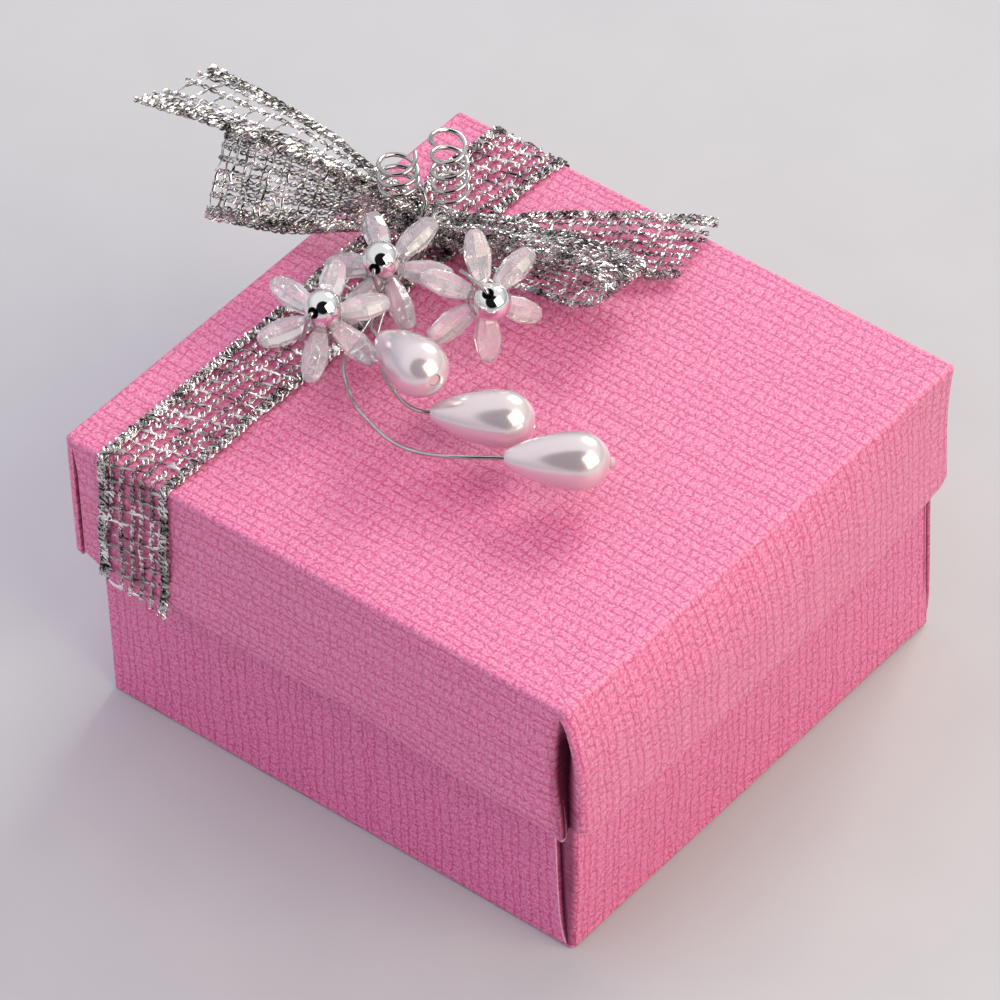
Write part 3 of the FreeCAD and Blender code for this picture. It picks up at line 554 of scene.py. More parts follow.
def new_material(name):
    """A node material with its Principled shader."""
    material = bpy.data.materials.new(name)
    material.use_nodes = True
    return material, material.node_tree, material.node_tree.nodes["Principled BSDF"]


def mix_colours(tree, factor, low, high):
    """A mix of two colours, low where the factor is 0 and high where it is 1; each is fixed or a socket."""
    node = add_node(tree, "ShaderNodeMix", data_type="RGBA")
    tree.links.new(factor, node.inputs["Factor"])
    for socket, value in ((6, low), (7, high)):
        if isinstance(value, bpy.types.NodeSocket):
            tree.links.new(value, node.inputs[socket])
        else:
            node.inputs[socket].default_value = (*value, 1.0)
    return node.outputs[2]


def ranged(tree, source, low, high, to_low, to_high):
    """A value carried in proportion from one range to another, and held at its ends."""
    node = add_node(tree, "ShaderNodeMapRange",
                    {"From Min": low, "From Max": high, "To Min": to_low, "To Max": to_high})
    tree.links.new(source, node.inputs["Value"])
    return node.outputs["Result"]


def shade(colour, factor):
    """A colour made darker or lighter."""
    return tuple(min(1.0, factor * part) for part in colour)


def card_material(name, emboss, face, cell_highlight, crease, raw, seam_shade_colour):
    """Embossed card: painted shade in its creases, seams and slits, painted highlight on raised cells, bare
    cut edges.

    A raised cell's colour, a painted highlight, is 0.78 of the face plus the paling.
    """
    material, tree, shader = new_material(name)
    place = tree.nodes.new("ShaderNodeUVMap")
    place.uv_map = "Unfolded"
    cells = add_node(tree, "ShaderNodeGroup", node_tree=emboss)
    link(tree, place, "UV", cells, "Vector")
    lit_cell = tuple(0.78 * part + cell_highlight for part in face)
    # Painted highlight: the raised middles of the cells are painted paler, as if lit.
    domed = mix_colours(tree, cells.outputs["Pillow"], face, lit_cell)
    fibres = mix_colours(tree, ranged(tree, cells.outputs["Fibre"], 0.41, 0.50, 0.6, 0.0), domed,
                         shade(crease, 1.2))
    specks = mix_colours(tree, ranged(tree, cells.outputs["Fibre"], 0.50, 0.59, 0.0, 0.7), fibres,
                         shade(lit_cell, 1.35))
    # Painted shade: the creases of the embossing are painted in the darker crease colour.
    creased = mix_colours(tree, cells.outputs["Crease"], specks, crease)
    edge = add_node(tree, "ShaderNodeAttribute", attribute_name="cut_edge")
    bare = mix_colours(tree, edge.outputs["Fac"], creased, raw)
    # Painted shade: the insides of seams and slits are mixed towards a near-black colour by a per-point
    # attribute, and lose their coat sheen.
    seam = add_node(tree, "ShaderNodeAttribute", attribute_name="seam_shade")
    colour = mix_colours(tree, seam.outputs["Fac"], bare, seam_shade_colour)
    tree.links.new(colour, shader.inputs["Base Color"])
    tree.links.new(ranged(tree, cells.outputs["Fibre"], 0.2, 0.8, 0.42, 0.62), shader.inputs["Roughness"])
    shader.inputs["Specular IOR Level"].default_value = 0.25
    tree.links.new(ranged(tree, seam.outputs["Fac"], 0.0, 1.0, 1.0, 0.0), shader.inputs["Coat Weight"])
    shader.inputs["Coat IOR"].default_value = 1.68
    shader.inputs["Coat Roughness"].default_value = 0.52
    bump = add_node(tree, "ShaderNodeBump", {"Strength": 0.8, "Distance": 0.0001})
    link(tree, cells, "Height", bump, "Height")
    link(tree, bump, "Normal", shader, "Normal")
    return material


def grained_material(name, grain, scale, colours, roughness, metallic=0.0, bump_height=0.0, **sockets):
    """A finish whose colour and roughness vary with the fine grain; other sockets hold one value."""
    material, tree, shader = new_material(name)
    group = add_node(tree, "ShaderNodeGroup", node_tree=grain)
    group.inputs["Scale"].default_value = scale
    colour = mix_colours(tree, ranged(tree, group.outputs["Patches"], 0.35, 0.65, 0.0, 1.0), *colours)
    tree.links.new(colour, shader.inputs["Base Color"])
    tree.links.new(ranged(tree, group.outputs["Grain"], 0.3, 0.7, *roughness), shader.inputs["Roughness"])
    shader.inputs["Metallic"].default_value = metallic
    for socket, value in sockets.items():
        shader.inputs[socket.replace("_", " ")].default_value = value
    if bump_height:
        bump = add_node(tree, "ShaderNodeBump", {"Strength": 0.5, "Distance": bump_height})
        link(tree, group, "Grain", bump, "Height")
        link(tree, bump, "Normal", shader, "Normal")
    return material


class GIFTBOX_OT_finishes(bpy.types.Operator):
    """Make the materials of the box"""

    bl_idname = "giftbox.finishes"
    bl_label = "Finishes"

    def execute(self, context):
        look = context.scene.gift_finishes
        emboss = emboss_group()
        grain = grain_group()
        raw = tuple(look.raw_card)
        # Near-black colour of the painted shade inside seams and slits.
        seam_shade_colour = shade(look.crease, 0.15)
        card_material("Lid card", emboss, tuple(look.card), 0.105, tuple(look.crease), raw, seam_shade_colour)
        card_material("Tray card", emboss, tuple(look.tray_card), 0.08, tuple(look.tray_crease), raw,
                      seam_shade_colour)
        card_material("Card reverse", emboss, shade(raw, 0.98), 0.105, shade(raw, 0.9), raw, seam_shade_colour)
        grained_material("Ribbon film", grain, 2000.0, (shade(look.film, 0.3), shade(look.film, 1.28)),
                         (0.08, 0.24), metallic=1.0)
        grained_material("Drawn wire", grain, 1800.0, (shade(look.wire, 0.85), shade(look.wire, 1.12)),
                         (0.07, 0.15), metallic=1.0)
        grained_material("Mirror coat", grain, 900.0, (shade(look.mirror, 0.96), shade(look.mirror, 1.04)),
                         (0.04, 0.09), metallic=1.0)
        # Painted shade: the bore of each bead is painted near black.
        grained_material("Drilled hole shade", grain, 900.0, ((0.012, 0.012, 0.012), (0.03, 0.028, 0.028)),
                         (0.4, 0.6))
        grained_material("Petal crystal", grain, 700.0,
                         (shade(look.crystal, 0.96), shade(look.crystal, 1.03)),
                         (0.02, 0.07), bump_height=0.00003, Transmission_Weight=0.74, IOR=1.52,
                         Coat_Weight=0.6, Coat_Roughness=0.03)
        grained_material("Pearl coat", grain, 420.0, (shade(look.pearl, 0.97), shade(look.pearl, 1.05)),
                         (0.18, 0.25), metallic=0.62, Coat_Weight=0.3, Coat_Roughness=0.12)
        grained_material("Dried glue", grain, 700.0, ((0.56, 0.36, 0.36), (0.68, 0.48, 0.47)), (0.35, 0.5),
                         bump_height=0.00005)
        return {"FINISHED"}


def finish(name):
    """A material made by the finishes."""
    return bpy.data.materials[name]


# Card tray and lid

def ring_columns(half_x, half_y, corner, fine_reach):
    """Columns round a rectangle with rounded corners, closely spaced near the corners.

    Gives each column's place on the inner rectangle, its outward direction, its distance from the nearer
    end of its straight side, whether that side is the front or back wall, and the panel that it belongs to.
    """
    places, outs, reaches, cross_walls, panels = [], [], [], [], []
    inner_x, inner_y = half_x - corner, half_y - corner
    fine_count, blend_count, middle_count, corner_count = 46, 6, 31, 8
    blend_end = fine_reach + 2
    near = np.concatenate([np.linspace(0, fine_reach, fine_count),
                           np.linspace(fine_reach, blend_end, blend_count)[1:]])
    sides = [((0, -1), inner_x), ((1, 0), inner_y), ((0, 1), inner_x), ((-1, 0), inner_y)]
    for panel, (out, half) in enumerate(sides):
        out = np.array(out, float)
        along = np.array((-out[1], out[0]))
        middle = np.linspace(blend_end, 2 * half - blend_end, middle_count)[1:-1]
        distance = np.concatenate([near, middle, (2 * half - near)[::-1]])
        places.append(out * np.array((inner_x, inner_y)) + along * (distance - half)[:, None])
        outs.append(np.repeat(out[None], len(distance), 0))
        reaches.append(np.minimum(distance, 2 * half - distance))
        cross_walls.append(np.full(len(distance), panel % 2 == 0))
        panels.append(np.full(len(distance), panel))
        turn = np.linspace(0, math.pi / 2, corner_count)[1:-1, None]
        places.append(np.repeat(places[-1][-1:], len(turn), 0))
        outs.append(np.cos(turn) * out + np.sin(turn) * along)
        reaches.append(np.zeros(len(turn)))
        cross_walls.append(np.full(len(turn), False))
        panels.append(np.full(len(turn), panel if panel % 2 else (panel + 1) % 4))
    return (np.concatenate(places), np.concatenate(outs), np.concatenate(reaches),
            np.concatenate(cross_walls), np.concatenate(panels))


def seam_shift(columns, marks, moved):
    """Sideways moves that carry the columns at the given marks from a corner to their moved places."""
    place, _, reach, cross_wall, _ = columns
    near = cross_wall & (reach < marks[-1])
    step = np.where(near, reach - np.interp(reach, marks, moved), 0.0)
    return np.column_stack([np.sign(place[:, 0]) * step, np.zeros(len(place))])


def make_ring(columns, scale, offset, height, run, fold_step, edge=0.0, shift=0.0, seam=0.0):
    """One ring of a card shell: the inner rectangle times scale, pushed out by offset and shifted.

    fold_step is how far outside the inner rectangle the fold lies, for the unfolded pattern; run is the
    distance down the wall from there, edge says how bare the card is and seam how much painted shade it
    has.
    """
    place, out = columns[0], columns[1]
    count = len(place)
    spread = place * scale + out * np.broadcast_to(offset, count)[:, None] + shift
    return {"points": np.column_stack([spread, np.broadcast_to(height, count)]),
            "fold": place * scale + out * fold_step, "run": np.broadcast_to(run, count),
            "cut_edge": np.broadcast_to(edge, count), "seam_shade": np.broadcast_to(seam, count)}


def unfolded_uv(fold, run, panels, faces, columns, turned):
    """Where each face corner lies on the unfolded card: the fold place plus the run down its wall.

    On the walls of the turned panels the two directions change places, so that emboss rows stand upright.
    """
    ways = np.array(((0, -1), (1, 0), (0, 1), (-1, 0)))
    panel = panels[faces[:, 0] % columns]
    uv = fold[faces] + ways[panel][:, None, :] * run[faces][..., None]
    upright = np.isin(panel, turned) & (run[faces].max(1) > 0)
    uv[upright] = uv[upright][..., ::-1]
    return uv


def card_piece(name, node, body, face, rings, panels, reverse_from, turned):
    """A folded card shell from its rings, with the card's reverse on the rings from a given one on."""
    points = np.stack([ring["points"] for ring in rings])
    fold = np.stack([ring["fold"] for ring in rings]).reshape(-1, 2)
    run = np.stack([ring["run"] for ring in rings]).reshape(-1)
    rows, count = points.shape[:2]
    faces = grid_faces(rows, count, wrap_columns=True)
    caps = np.stack([np.arange(count), np.arange(count) + (rows - 1) * count])
    wall_uv = unfolded_uv(fold, run, panels, faces, count, turned)
    uv = np.concatenate([wall_uv.reshape(-1, 2), fold[caps].reshape(-1, 2)])
    slots = np.concatenate([(faces[:, 0] // count >= reverse_from).astype(int), [0, 1]])
    piece = make_piece(name, points, [faces, caps], [finish(face), finish("Card reverse")],
                       [node], body, uv, slots, sharp=50)
    for mark in ("cut_edge", "seam_shade"):
        values = np.stack([ring[mark] for ring in rings]).reshape(-1)
        attribute = piece.data.attributes.new(mark, "FLOAT", "POINT")
        attribute.data.foreach_set("value", values.astype(np.float32))
    return piece


class GIFTBOX_OT_lid(bpy.types.Operator):
    """Fold the lid: a panel, four bowed walls with open corner slits, and a rolled lower edge"""

    bl_idname = "giftbox.lid"
    bl_label = "Lid"

    def execute(self, context):
        card = context.scene.gift_card
        half_x, half_y, top = LID_HIGH
        low = LID_LOW[2]
        columns = ring_columns(half_x, half_y, card.corner, SEAM_REACH)
        place, _, reach, cross_wall, panel = columns
        fold_height = top - card.lid_fold
        fold_step = card.corner - card.lid_fold
        half_wall = card.wall / 2
        slit_end = card.lid_strip + card.lid_slit
        own_wall = cross_wall & (reach > card.lid_strip + 0.01)
        in_slit = own_wall & (reach < slit_end)

        right_side = place[:, 0] > 0
        open_corner = right_side & (place[:, 1] < 0)
        cut_length, rounding_length, curl_length, curl_depth = 2.4, 1.4, 1.6, 0.35
        cut = np.where(open_corner, -0.5, 1.0) * np.clip(1 - (reach - slit_end) / cut_length, 0, 1) ** 1.3
        rounding = 0.5 * np.clip(1 - reach / rounding_length, 0, 1) ** 2
        wave = 0.12 * ripple(place[:, 0], place[:, 1], pitch=30.0, seed=3)
        foot = low + half_wall + wave + np.where(own_wall, card.corner_cut * cut, rounding)

        left_bow, front_bow = 0.5, 0.4
        front_to_back = np.where(own_wall, 0.0, place[:, 1] / (half_y - card.corner))
        middle = np.cos(front_to_back * math.pi / 2)
        right_out = card.flare * (0.35 - 0.65 * front_to_back) + card.bow_out * middle
        side_out = np.where(right_side, right_out, left_bow * middle) * np.sign(place[:, 0])
        back_in = np.where(right_side, card.lean_in * ease((front_to_back - 0.4) / 0.6), 0.0)
        flap_shift = np.where(own_wall[:, None], 0.0, np.column_stack([side_out, -back_in]))
        across_middle = np.cos(place[:, 0] / half_x * math.pi / 2)
        front_out = front_bow * across_middle + card.front_flare * ease(place[:, 0] / half_x)
        wall_out = np.where(panel == 0, front_out, -card.lean_in) * own_wall
        round_wall = reach + place[:, 0] + place[:, 1]
        crumple = 0.06 * ripple(round_wall, place[:, 1], pitch=14.0, seed=9)

        def wall_face(depth):
            """Offset, shift, height and painted shade of the outer wall at a share of its depth."""
            height = fold_height + (foot - fold_height) * depth
            opened = ease(depth / 0.3)
            turned_in = np.clip((slit_end - reach) / card.lid_slit, 0, 1) ** 0.6
            hollow = card.lid_slit_depth * opened * turned_in * in_slit
            near_slit = np.clip(1 - (reach - slit_end) / curl_length, 0, 1) ** 2
            curl = opened * open_corner * own_wall * near_slit
            curled_in = curl_depth * curl * (1 - depth)
            offset = card.corner + wall_out * depth - hollow - curled_in + crumple * opened
            marks = (0, card.lid_strip, slit_end, SEAM_REACH)
            curl_end = (card.lid_strip + 0.35 * math.sin(math.pi * min(depth / 0.75, 1.0))
                        - 1.0 * float(ease((depth - 0.55) / 0.45)))
            wide = seam_shift(columns, marks, (0, card.lid_strip, curl_end, SEAM_REACH))
            slit_now = card.lid_strip + card.lid_slit * opened
            narrow = seam_shift(columns, marks, (0, card.lid_strip, slit_now, SEAM_REACH))
            puffed = math.sin(min(depth / 0.6, 1.0) * math.pi / 2) ** 0.8
            shift = flap_shift * puffed + np.where(open_corner[:, None], wide, narrow)
            # Painted shade in the open slits and on the curled-in wall beside the open corner.
            dark = np.maximum(in_slit * opened, 0.55 * curl)
            return offset, shift, height, dark

        # Rings from the middle of the top over the fold, down the wall, round its edge, up inside and back.
        fold_rows, wall_rows, edge_rows, inner_rows = 8, 30, 8, 18
        rings = []
        for scale in (0.02, 0.2, 0.4, 0.6, 0.75, 0.87, 0.95, 0.985):
            uneven = ripple(place[:, 0] * scale, place[:, 1] * scale, pitch=40.0, seed=5)
            sag = -0.12 * (1 - scale ** 2) + 0.05 * uneven
            rings.append(make_ring(columns, scale, fold_step * scale, top + sag, 0.0, card.corner * scale))
        for turn in np.linspace(0, math.pi / 2, fold_rows):
            rings.append(make_ring(columns, 1.0, fold_step + card.lid_fold * math.sin(turn),
                                   fold_height + card.lid_fold * math.cos(turn), card.lid_fold * turn,
                                   card.corner))
        fold_run = card.lid_fold * math.pi / 2
        for depth in np.linspace(0, 1, wall_rows)[1:]:
            offset, shift, height, dark = wall_face(depth)
            rings.append(make_ring(columns, 1.0, offset, height, fold_height - height + fold_run,
                                   card.corner, 0.0, shift, dark))
        run = fold_height - foot + fold_run
        tucked_ply = 0.4
        thickness = np.where(in_slit, tucked_ply, card.wall)
        # Inside a slit the rolled edge and the inner wall carry full painted shade.
        for turn in np.linspace(0, math.pi, edge_rows)[1:]:
            rings.append(make_ring(columns, 1.0, offset - thickness / 2 * (1 - math.cos(turn)),
                                   foot - thickness / 2 * math.sin(turn), run + half_wall * turn,
                                   card.corner, 0.4 * math.sin(turn), shift, in_slit))
        reverse_from = len(rings) + inner_rows - 1
        for depth in np.linspace(1, 0, inner_rows)[1:]:
            offset, shift = wall_face(depth)[:2]
            height = foot + (top - card.panel - foot) * (1 - depth)
            rings.append(make_ring(columns, 1.0, offset - thickness, height,
                                   run + half_wall * math.pi + height - foot,
                                   card.corner, 0.0, shift, in_slit))
        for scale in (0.96, 0.8, 0.5, 0.2, 0.02):
            rings.append(make_ring(columns, scale, 0.0, top - card.panel, 0.0, 0.0))
        card_piece("lid_card", "lid", "lid", "Lid card", rings, panel, reverse_from, ())
        return {"FINISHED"}


class GIFTBOX_OT_tray(bpy.types.Operator):
    """Fold the tray: a floor, four walls with raw-edged corner seams, and a rolled rim"""

    bl_idname = "giftbox.tray"
    bl_label = "Tray"

    def execute(self, context):
        card = context.scene.gift_card
        half_x, half_y, rim = TRAY_HIGH
        columns = ring_columns(half_x, half_y, card.corner, SEAM_REACH)
        place, out, reach, cross_wall, panel = columns
        half_wall = card.wall / 2
        rim_height = rim - half_wall
        fold_step = card.corner - card.tray_fold
        right_side = place[:, 0] > 0
        parted = cross_wall & (right_side | (place[:, 1] > 0))
        in_seam = parted & (reach < card.tray_slit - 0.01)
        edge_step, edge_width = 0.1, 0.06
        from_edge = np.abs(reach - card.tray_slit - edge_step)
        bare_edge = np.where(parted, np.clip(1 - from_edge / edge_width, 0, 1), 0.0)
        front_corner = right_side & ~cross_wall & (place[:, 1] < 0)
        # Painted shade: seams darken towards their raw edge, and the front right corner's rounding darkens
        # where it faces the front.
        corner_shade = front_corner * np.clip(-out[:, 1], 0, 1) * 0.65
        dark = in_seam * (0.7 + 0.25 * reach / card.tray_slit) + corner_shade
        round_wall = reach + place[:, 0] + place[:, 1]
        crumple = 0.05 * ripple(round_wall, place[:, 1], pitch=14.0, seed=21)
        closing_height, lean_height, shallow_end = 2.2, 14.0, 0.15
        leaning = right_side & ~cross_wall
        flap_shift = np.column_stack([card.tray_lean * (0.5 - 0.5 * place[:, 1] / half_y) * leaning,
                                      0.0 * reach])

        def wall_face(height):
            """Offset and shift of the outer wall at a height; the seam closes towards the floor."""
            above_fold = max(height - card.tray_fold, 0.0)
            width = card.tray_slit * (1 - 0.86 * math.exp(-above_fold / closing_height))
            slope = shallow_end + (card.tray_slit_depth - shallow_end) * reach / card.tray_slit
            hollow = slope * in_seam * width / card.tray_slit
            marks = (0, card.tray_slit, SEAM_REACH)
            wide = seam_shift(columns, marks, (0, width, SEAM_REACH))
            shut = seam_shift(columns, marks, (0, 0.15 * width, SEAM_REACH))
            proud = seam_shift(columns, marks, (0, -0.7 * width, SEAM_REACH))
            right_seams = np.where(panel[:, None] == 2, proud, wide)
            shift = np.where(right_side[:, None], right_seams, shut) * parted[:, None]
            shift = shift + flap_shift * float(ease(height / lean_height))
            return card.corner - hollow * np.where(right_side, 1.0, 0.5) + crumple, shift

        # Rings from the middle of the underside round the fold, up the wall, over the rim, down and in.
        fold_rows, wall_rows, edge_rows, inner_rows = 7, 36, 8, 12
        rings = []
        for scale in (0.02, 0.3, 0.6, 0.85, 0.97):
            rings.append(make_ring(columns, scale, fold_step * scale, 0.0, 0.0, card.corner * scale))
        for turn in np.linspace(0, math.pi / 2, fold_rows):
            rings.append(make_ring(columns, 1.0, fold_step + card.tray_fold * math.sin(turn),
                                   card.tray_fold * (1 - math.cos(turn)), card.tray_fold * turn,
                                   card.corner))
        fold_run = card.tray_fold * (math.pi / 2 - 1)
        for share in np.linspace(0, 1, wall_rows)[1:] ** 1.4:
            height = card.tray_fold + (rim_height - card.tray_fold) * share
            offset, shift = wall_face(height)
            rings.append(make_ring(columns, 1.0, offset, height, height + fold_run, card.corner, bare_edge,
                                   shift, dark))
        run = rim_height + fold_run
        tucked_ply = 0.35
        thickness = np.where(in_seam, tucked_ply, card.wall)
        for turn in np.linspace(0, math.pi, edge_rows)[1:]:
            rings.append(make_ring(columns, 1.0, offset - thickness / 2 * (1 - math.cos(turn)),
                                   rim_height + thickness / 2 * math.sin(turn), run + half_wall * turn,
                                   card.corner, 0.2 * math.sin(turn), shift))
        for share in np.linspace(0, 1, inner_rows)[1:]:
            height = rim_height + (card.panel - rim_height) * share
            offset, shift = wall_face(height)
            rings.append(make_ring(columns, 1.0, offset - thickness, height,
                                   run + half_wall * math.pi + rim_height - height, card.corner, 0.0,
                                   shift))
        reverse_from = len(rings) - 1
        for scale in (0.96, 0.8, 0.5, 0.2, 0.02):
            rings.append(make_ring(columns, scale, 0.0, card.panel, 0.0, 0.0))
        card_piece("tray_card", "base_tray", "base", "Tray card", rings, panel, reverse_from, (0, 2))
        return {"FINISHED"}


# Mesh ribbon

def strands(surface, across, along, lift, film, ply, twist):
    """Flat metallic strips that follow lines on a ribbon surface.

    across, along and lift are arrays of strands by stations; each station is the surface point plus its
    normal times lift, and the strip's four corners turn about the strand by the twist angle.
    """
    step = 0.02
    points = surface(across, along)
    normal = unit(np.cross(surface(across + step, along) - points, surface(across, along + step) - points))
    points = points + normal * lift[..., None]
    heading = unit(np.gradient(points, axis=1))
    side = unit(np.cross(normal, heading))
    above = np.cross(heading, side)
    turn = np.arange(4) * math.pi / 2
    flat = film * np.cos(turn)
    thick = ply * np.sin(turn)
    cosine, sine = np.cos(twist)[..., None], np.sin(twist)[..., None]
    sideways = flat * cosine - thick * sine
    upward = flat * sine + thick * cosine
    rings = (points[:, :, None] + sideways[..., None] * side[:, :, None]
             + upward[..., None] * above[:, :, None])
    count, stations = points.shape[:2]
    faces = grid_faces(stations, 4, wrap_columns=True)
    starts = np.arange(count)[:, None, None] * stations * 4
    ends = np.stack([np.arange(4), np.arange(4) + (stations - 1) * 4])
    return rings.reshape(-1, 3), [(faces[None] + starts).reshape(-1, 4),
                                  (ends[None] + starts).reshape(-1, 4)]


def ribbon_shape(surface, sizes, warps, start_of, end_of, seed, skew=0.0, slide=0.0):
    """Yarns of a length of mesh ribbon: twisted chains along it, thick selvedges and cross yarns.

    Chains are pairs of strips: across = place + r cos(2 pi v / pitch) and lift = r sin(2 pi v / pitch),
    half a turn apart. start_of and end_of give where the ribbon begins and ends for a distance across it;
    skew is how much further along a cross yarn ends than it begins, and slide is how far the first chain
    has slid sideways at the start.
    """
    yarn_gap = 0.42
    stations_per_mm = 4.8
    zigzag_pitch, zigzag_swing = 1.5, 0.55
    end_play, slide_end, slide_fade = 0.3, 16.0, 9.0
    weft_overhang, weave_pitch = 0.45, 2.8
    random = np.random.default_rng(seed)
    edges = np.array((sizes.selvedge - yarn_gap, sizes.selvedge, sizes.selvedge + yarn_gap))
    centres = np.repeat(np.concatenate([-edges, warps, edges]), 2)
    pairs = len(centres) // 2
    longest = float(np.max(end_of(centres) - start_of(centres)))
    share = np.linspace(0, 1, int(longest * stations_per_mm))[None]
    loose = np.repeat(random.uniform(-end_play, end_play, pairs), 2)[:, None]
    begin = start_of(centres)[:, None] + loose * 0.4
    finish_at = end_of(centres)[:, None] + loose
    along = begin + (finish_at - begin) * share
    phase = np.repeat(random.uniform(0, math.tau, pairs), 2) + np.tile([0.0, math.pi], pairs)
    uneven = 1.1 * ripple(along, centres[:, None], pitch=6.0, seed=seed)
    turning = math.tau * along / sizes.twist_pitch + phase[:, None] + uneven
    wander = 0.17 * ripple(along, centres[:, None] * 2.0, pitch=7.0, seed=seed + 1)
    first_chain = (np.arange(len(centres)) // 2 == len(edges))[:, None]
    slid = slide * first_chain * ease((slide_end - along) / slide_fade)
    across = centres[:, None] + slid + wander + sizes.chain * np.cos(turning)
    lift = sizes.chain * 0.9 * np.sin(turning) + 0.06
    twist = 0.9 * turning + random.uniform(0, math.tau, len(centres))[:, None]
    chains = strands(surface, across, along, lift, sizes.film, sizes.film_ply, twist)

    middles = np.array([-sizes.selvedge, sizes.selvedge])
    along = start_of(middles)[:, None] + (end_of(middles) - start_of(middles))[:, None] * share
    uneven = 1.2 * ripple(along, 0 * along, pitch=7.0, seed=seed + 2)
    swing = zigzag_swing * np.sin(math.tau * along / zigzag_pitch + uneven)
    lift = 0.24 + 0.08 * np.cos(math.tau * along / (zigzag_pitch / 2))
    zigzags = strands(surface, middles[:, None] + swing, along, lift, sizes.film, sizes.film_ply,
                      2.0 * along)

    count = max(int((longest - 0.6) / sizes.weft_pitch), 2)
    rows = (np.arange(count) + 0.3) / count
    across = np.linspace(-1, 1, 34)[None] * np.full((count, 1), sizes.selvedge + weft_overhang)
    along = start_of(across) + (end_of(across) - start_of(across)) * rows[:, None]
    uneven = 0.16 * ripple(across, along, pitch=7.0, seed=seed + 3)
    along = along + skew * across / sizes.width + uneven
    along = np.clip(along, start_of(across), end_of(across))
    lift = 0.1 * np.cos(math.tau * across / weave_pitch + math.pi * np.arange(count)[:, None]) + 0.08
    twist = 1.5 * ripple(across, 3.0 * along, pitch=3.0, seed=seed + 4)
    wefts = strands(surface, across, along, lift, sizes.film * 1.05, sizes.film_ply * 0.85, twist)
    return join_shapes([chains, zigzags, wefts])


def ribbon_piece(name, node, surface, sizes, warps, start_of, end_of, seed, held, rests_on, length,
                 **pulled):
    """A length of ribbon as a piece; pulled holds skew and slide."""
    points, faces = ribbon_shape(surface, sizes, warps, start_of, end_of, seed, **pulled)
    piece = make_piece(name, points, faces, [finish("Ribbon film")], [node], sharp=60)
    return piece


def ribbon_axes(azimuth, elevation, roll):
    """Along, across and facing directions of a ribbon; across points to the front, raised by the roll."""
    along = direction(azimuth, elevation)
    level = unit(np.cross(UP, along))
    level = level * -np.sign(level[1])
    above = np.cross(along, level)
    above = above * np.sign(above[2])
    turn = math.radians(roll)
    across = level * math.cos(turn) + above * math.sin(turn)
    facing = above * math.cos(turn) - level * math.sin(turn)
    return along, across, facing


class GIFTBOX_OT_ribbon(bpy.types.Operator):
    """Lay the ribbon over the lid, down its front and back walls"""

    bl_idname = "giftbox.ribbon"
    bl_label = "Ribbon over the lid"

    def execute(self, context):
        sizes = context.scene.gift_ribbon
        middle = (BAND_LOW[0] + BAND_HIGH[0]) / 2
        lift = 0.26
        bend = context.scene.gift_card.lid_fold + lift
        half = LID_HIGH[1] - context.scene.gift_card.lid_fold
        fold_height = LID_HIGH[2] - context.scene.gift_card.lid_fold
        drop = fold_height - BAND_LOW[2]
        slant, side_lean, stand_off = 1.0, 1.35, 0.35
        blend = 6
        arc = bend * math.pi / 2
        run = 2 * half

        def surface(u, v):
            """Up the front wall, round its fold, over the lid, round the back fold and down behind."""
            front_turn = np.clip((v - drop) / arc, 0, 1) * math.pi / 2
            back_turn = np.clip((v - drop - arc - run) / arc, 0, 1) * math.pi / 2
            y = (-half - bend * np.cos(front_turn) + np.clip(v - drop - arc, 0, run)
                 + bend * np.sin(back_turn))
            z = (fold_height + np.minimum(v - drop, 0) + bend * np.sin(front_turn)
                 - bend * (1 - np.cos(back_turn)) - np.maximum(v - drop - 2 * arc - run, 0))
            flat = np.clip((v - drop - arc) / blend, 0, 1) * np.clip((drop + arc + run - v) / blend, 0, 1)
            z = z + flat * 0.12 * (1 + ripple(u, v, pitch=12.0, seed=31))
            hang = np.clip((drop - v) / drop, 0, 1)
            x = middle + u - side_lean * hang + 0.18 * ripple(v, 0 * u, pitch=22.0, seed=32)
            y = y - stand_off * hang * (1 + ripple(u, v, pitch=9.0, seed=33))
            return np.stack([x, y, z], axis=-1)

        length = 2 * drop + 2 * arc + run
        ribbon_piece("ribbon_over_lid", "ribbon_band", surface, sizes, WARPS,
                     lambda u: slant * (0.5 - u / sizes.width), lambda u: length - 1.2 + 0.0 * u,
                     seed=41, held="laid", rests_on=["lid_card"], length=length, skew=3.2, slide=-0.75)
        return {"FINISHED"}


